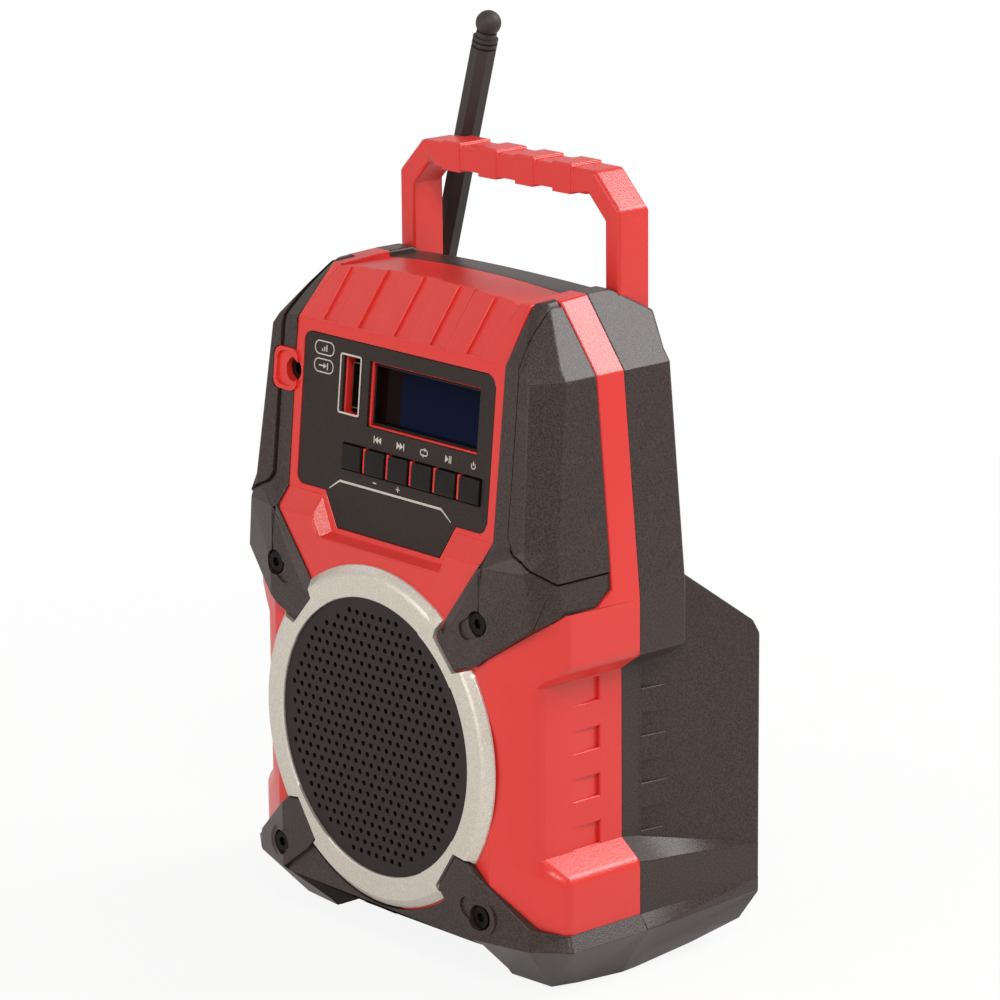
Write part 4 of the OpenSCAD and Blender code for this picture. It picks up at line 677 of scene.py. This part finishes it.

# Display bezel. A black ABS frame pressed into the window behind the shell's red lip,
# which holds the lens and hides the edge of the module. Its black walls also cover the window's
# red inner walls as painted shade.
lens_face = max((to_plate @ v.co).z for v in frame["nodes"]["display_lens"].data.vertices)
bpy.ops.object.select_all(action="DESELECT")
bezel_middle = (11.4 * MM, -13.7 * MM, 0)
bpy.ops.mesh.primitive_plane_add(size=MM, location=bezel_middle)
bezel_and_wall_shade = bpy.context.object
bezel_and_wall_shade.name = "display_bezel_and_wall_shade"
bpy.ops.object.mode_set(mode="EDIT")
bpy.ops.transform.resize(value=(45.7, 17.3, 1), center_override=bezel_middle)
bpy.ops.mesh.inset(thickness=0.6 * MM)
bpy.ops.mesh.delete(type="FACE")
bpy.ops.mesh.select_all(action="SELECT")
# The 1.9 mm walls lay black over the window's red inner walls: painted shade where those walls
# are only in shadow.
bpy.ops.mesh.extrude_region_move(TRANSFORM_OT_translate={"value": (0, 0, 1.9 * MM)})
bpy.ops.mesh.select_all(action="SELECT")
bpy.ops.mesh.normals_make_consistent(inside=False)
bpy.ops.object.mode_set(mode="OBJECT")
soften = bezel_and_wall_shade.modifiers.new("soft_edges", "BEVEL")
soften.width = 0.15 * MM
soften.segments = 2
bpy.ops.object.modifier_apply(modifier="soft_edges")
on_lens = Matrix.Translation((0, 0, lens_face + 0.02 * MM))
bezel_and_wall_shade.matrix_world = plate_frame @ on_lens @ bezel_and_wall_shade.matrix_world
bpy.ops.object.transform_apply(location=True, rotation=True, scale=True)
finish_piece(bezel_and_wall_shade, gloss_black, "cabinet")

# Boards. Two glass-fibre boards, printed and etched, under a green solder mask, screwed to
# posts inside the shells.
# Solder mask: glossy green with copper tracks a millimetre wide showing through.
solder_mask, tree, where = start_material("green_solder_mask")
tracks = add_node(tree, "ShaderNodeTexWave", None,
                  {"Vector": where, "Scale": 1 / 0.012, "Distortion": 3.0, "Detail": 1.0})
ridge = add_node(tree, "ShaderNodeMapRange", None,
                 {"Value": tracks.outputs["Fac"], "From Min": 0.62, "From Max": 0.7})
tone = add_node(tree, "ShaderNodeMix", {"data_type": "RGBA"},
                {0: ridge.outputs[0], 6: linear("#1c4a2c"), 7: linear("#2f6b3f")})
shader = add_node(tree, "ShaderNodeBsdfPrincipled", None,
                  {"Base Color": tone.outputs[2], "Roughness": 0.32})
add_node(tree, "ShaderNodeOutputMaterial", None, {"Surface": shader.outputs[0]})
for node in ("control_board", "main_board"):
    dress(frame["nodes"][node], solder_mask)

# Handle. The same red ABS as the front shell, moulded in one piece with four low finger
# pads whose steps run out softly, and screwed into the rear shell by its legs.
finish_piece(rounded_copy("carrying_handle", "handle", 1.0, hollows=True),
             red_abs, "cabinet")

# Aerial. A rubber sleeve over a spring, with a ball at its tip, on a turned steel pin
# in a charcoal mount at the back.
dress(frame["nodes"]["antenna_mast"], black_rubber)
dress(frame["nodes"]["antenna_mount"], fine_grey_abs)

# Battery. A sliding pack of charcoal ABS with a red release key, and the brass blades
# that it pushes onto at the bay's floor.
dress(frame["nodes"]["battery_pack"], fine_grey_abs)
dress(frame["nodes"]["terminal_block"], fine_grey_abs)
dress(frame["nodes"]["battery_release"], red_abs)
# Brass: rolled strip, yellow and bright, with a dull film in patches.
rolled_brass, tree, where = start_material("rolled_brass")
film = add_node(tree, "ShaderNodeTexNoise", None,
                {"Vector": where, "Scale": 1 / 0.003, "Detail": 3.0})
tone = add_node(tree, "ShaderNodeMix", {"data_type": "RGBA"},
                {0: film.outputs["Fac"], 6: linear("#a9822f"), 7: linear("#d1aa55")})
gloss = add_node(tree, "ShaderNodeMapRange", None,
                 {"Value": film.outputs["Fac"], "To Min": 0.2, "To Max": 0.42})
shader = add_node(tree, "ShaderNodeBsdfPrincipled", None,
                  {"Base Color": tone.outputs[2], "Metallic": 1.0, "Roughness": gloss.outputs[0]})
add_node(tree, "ShaderNodeOutputMaterial", None, {"Surface": shader.outputs[0]})
dress(frame["nodes"]["terminal_blades"], rolled_brass)
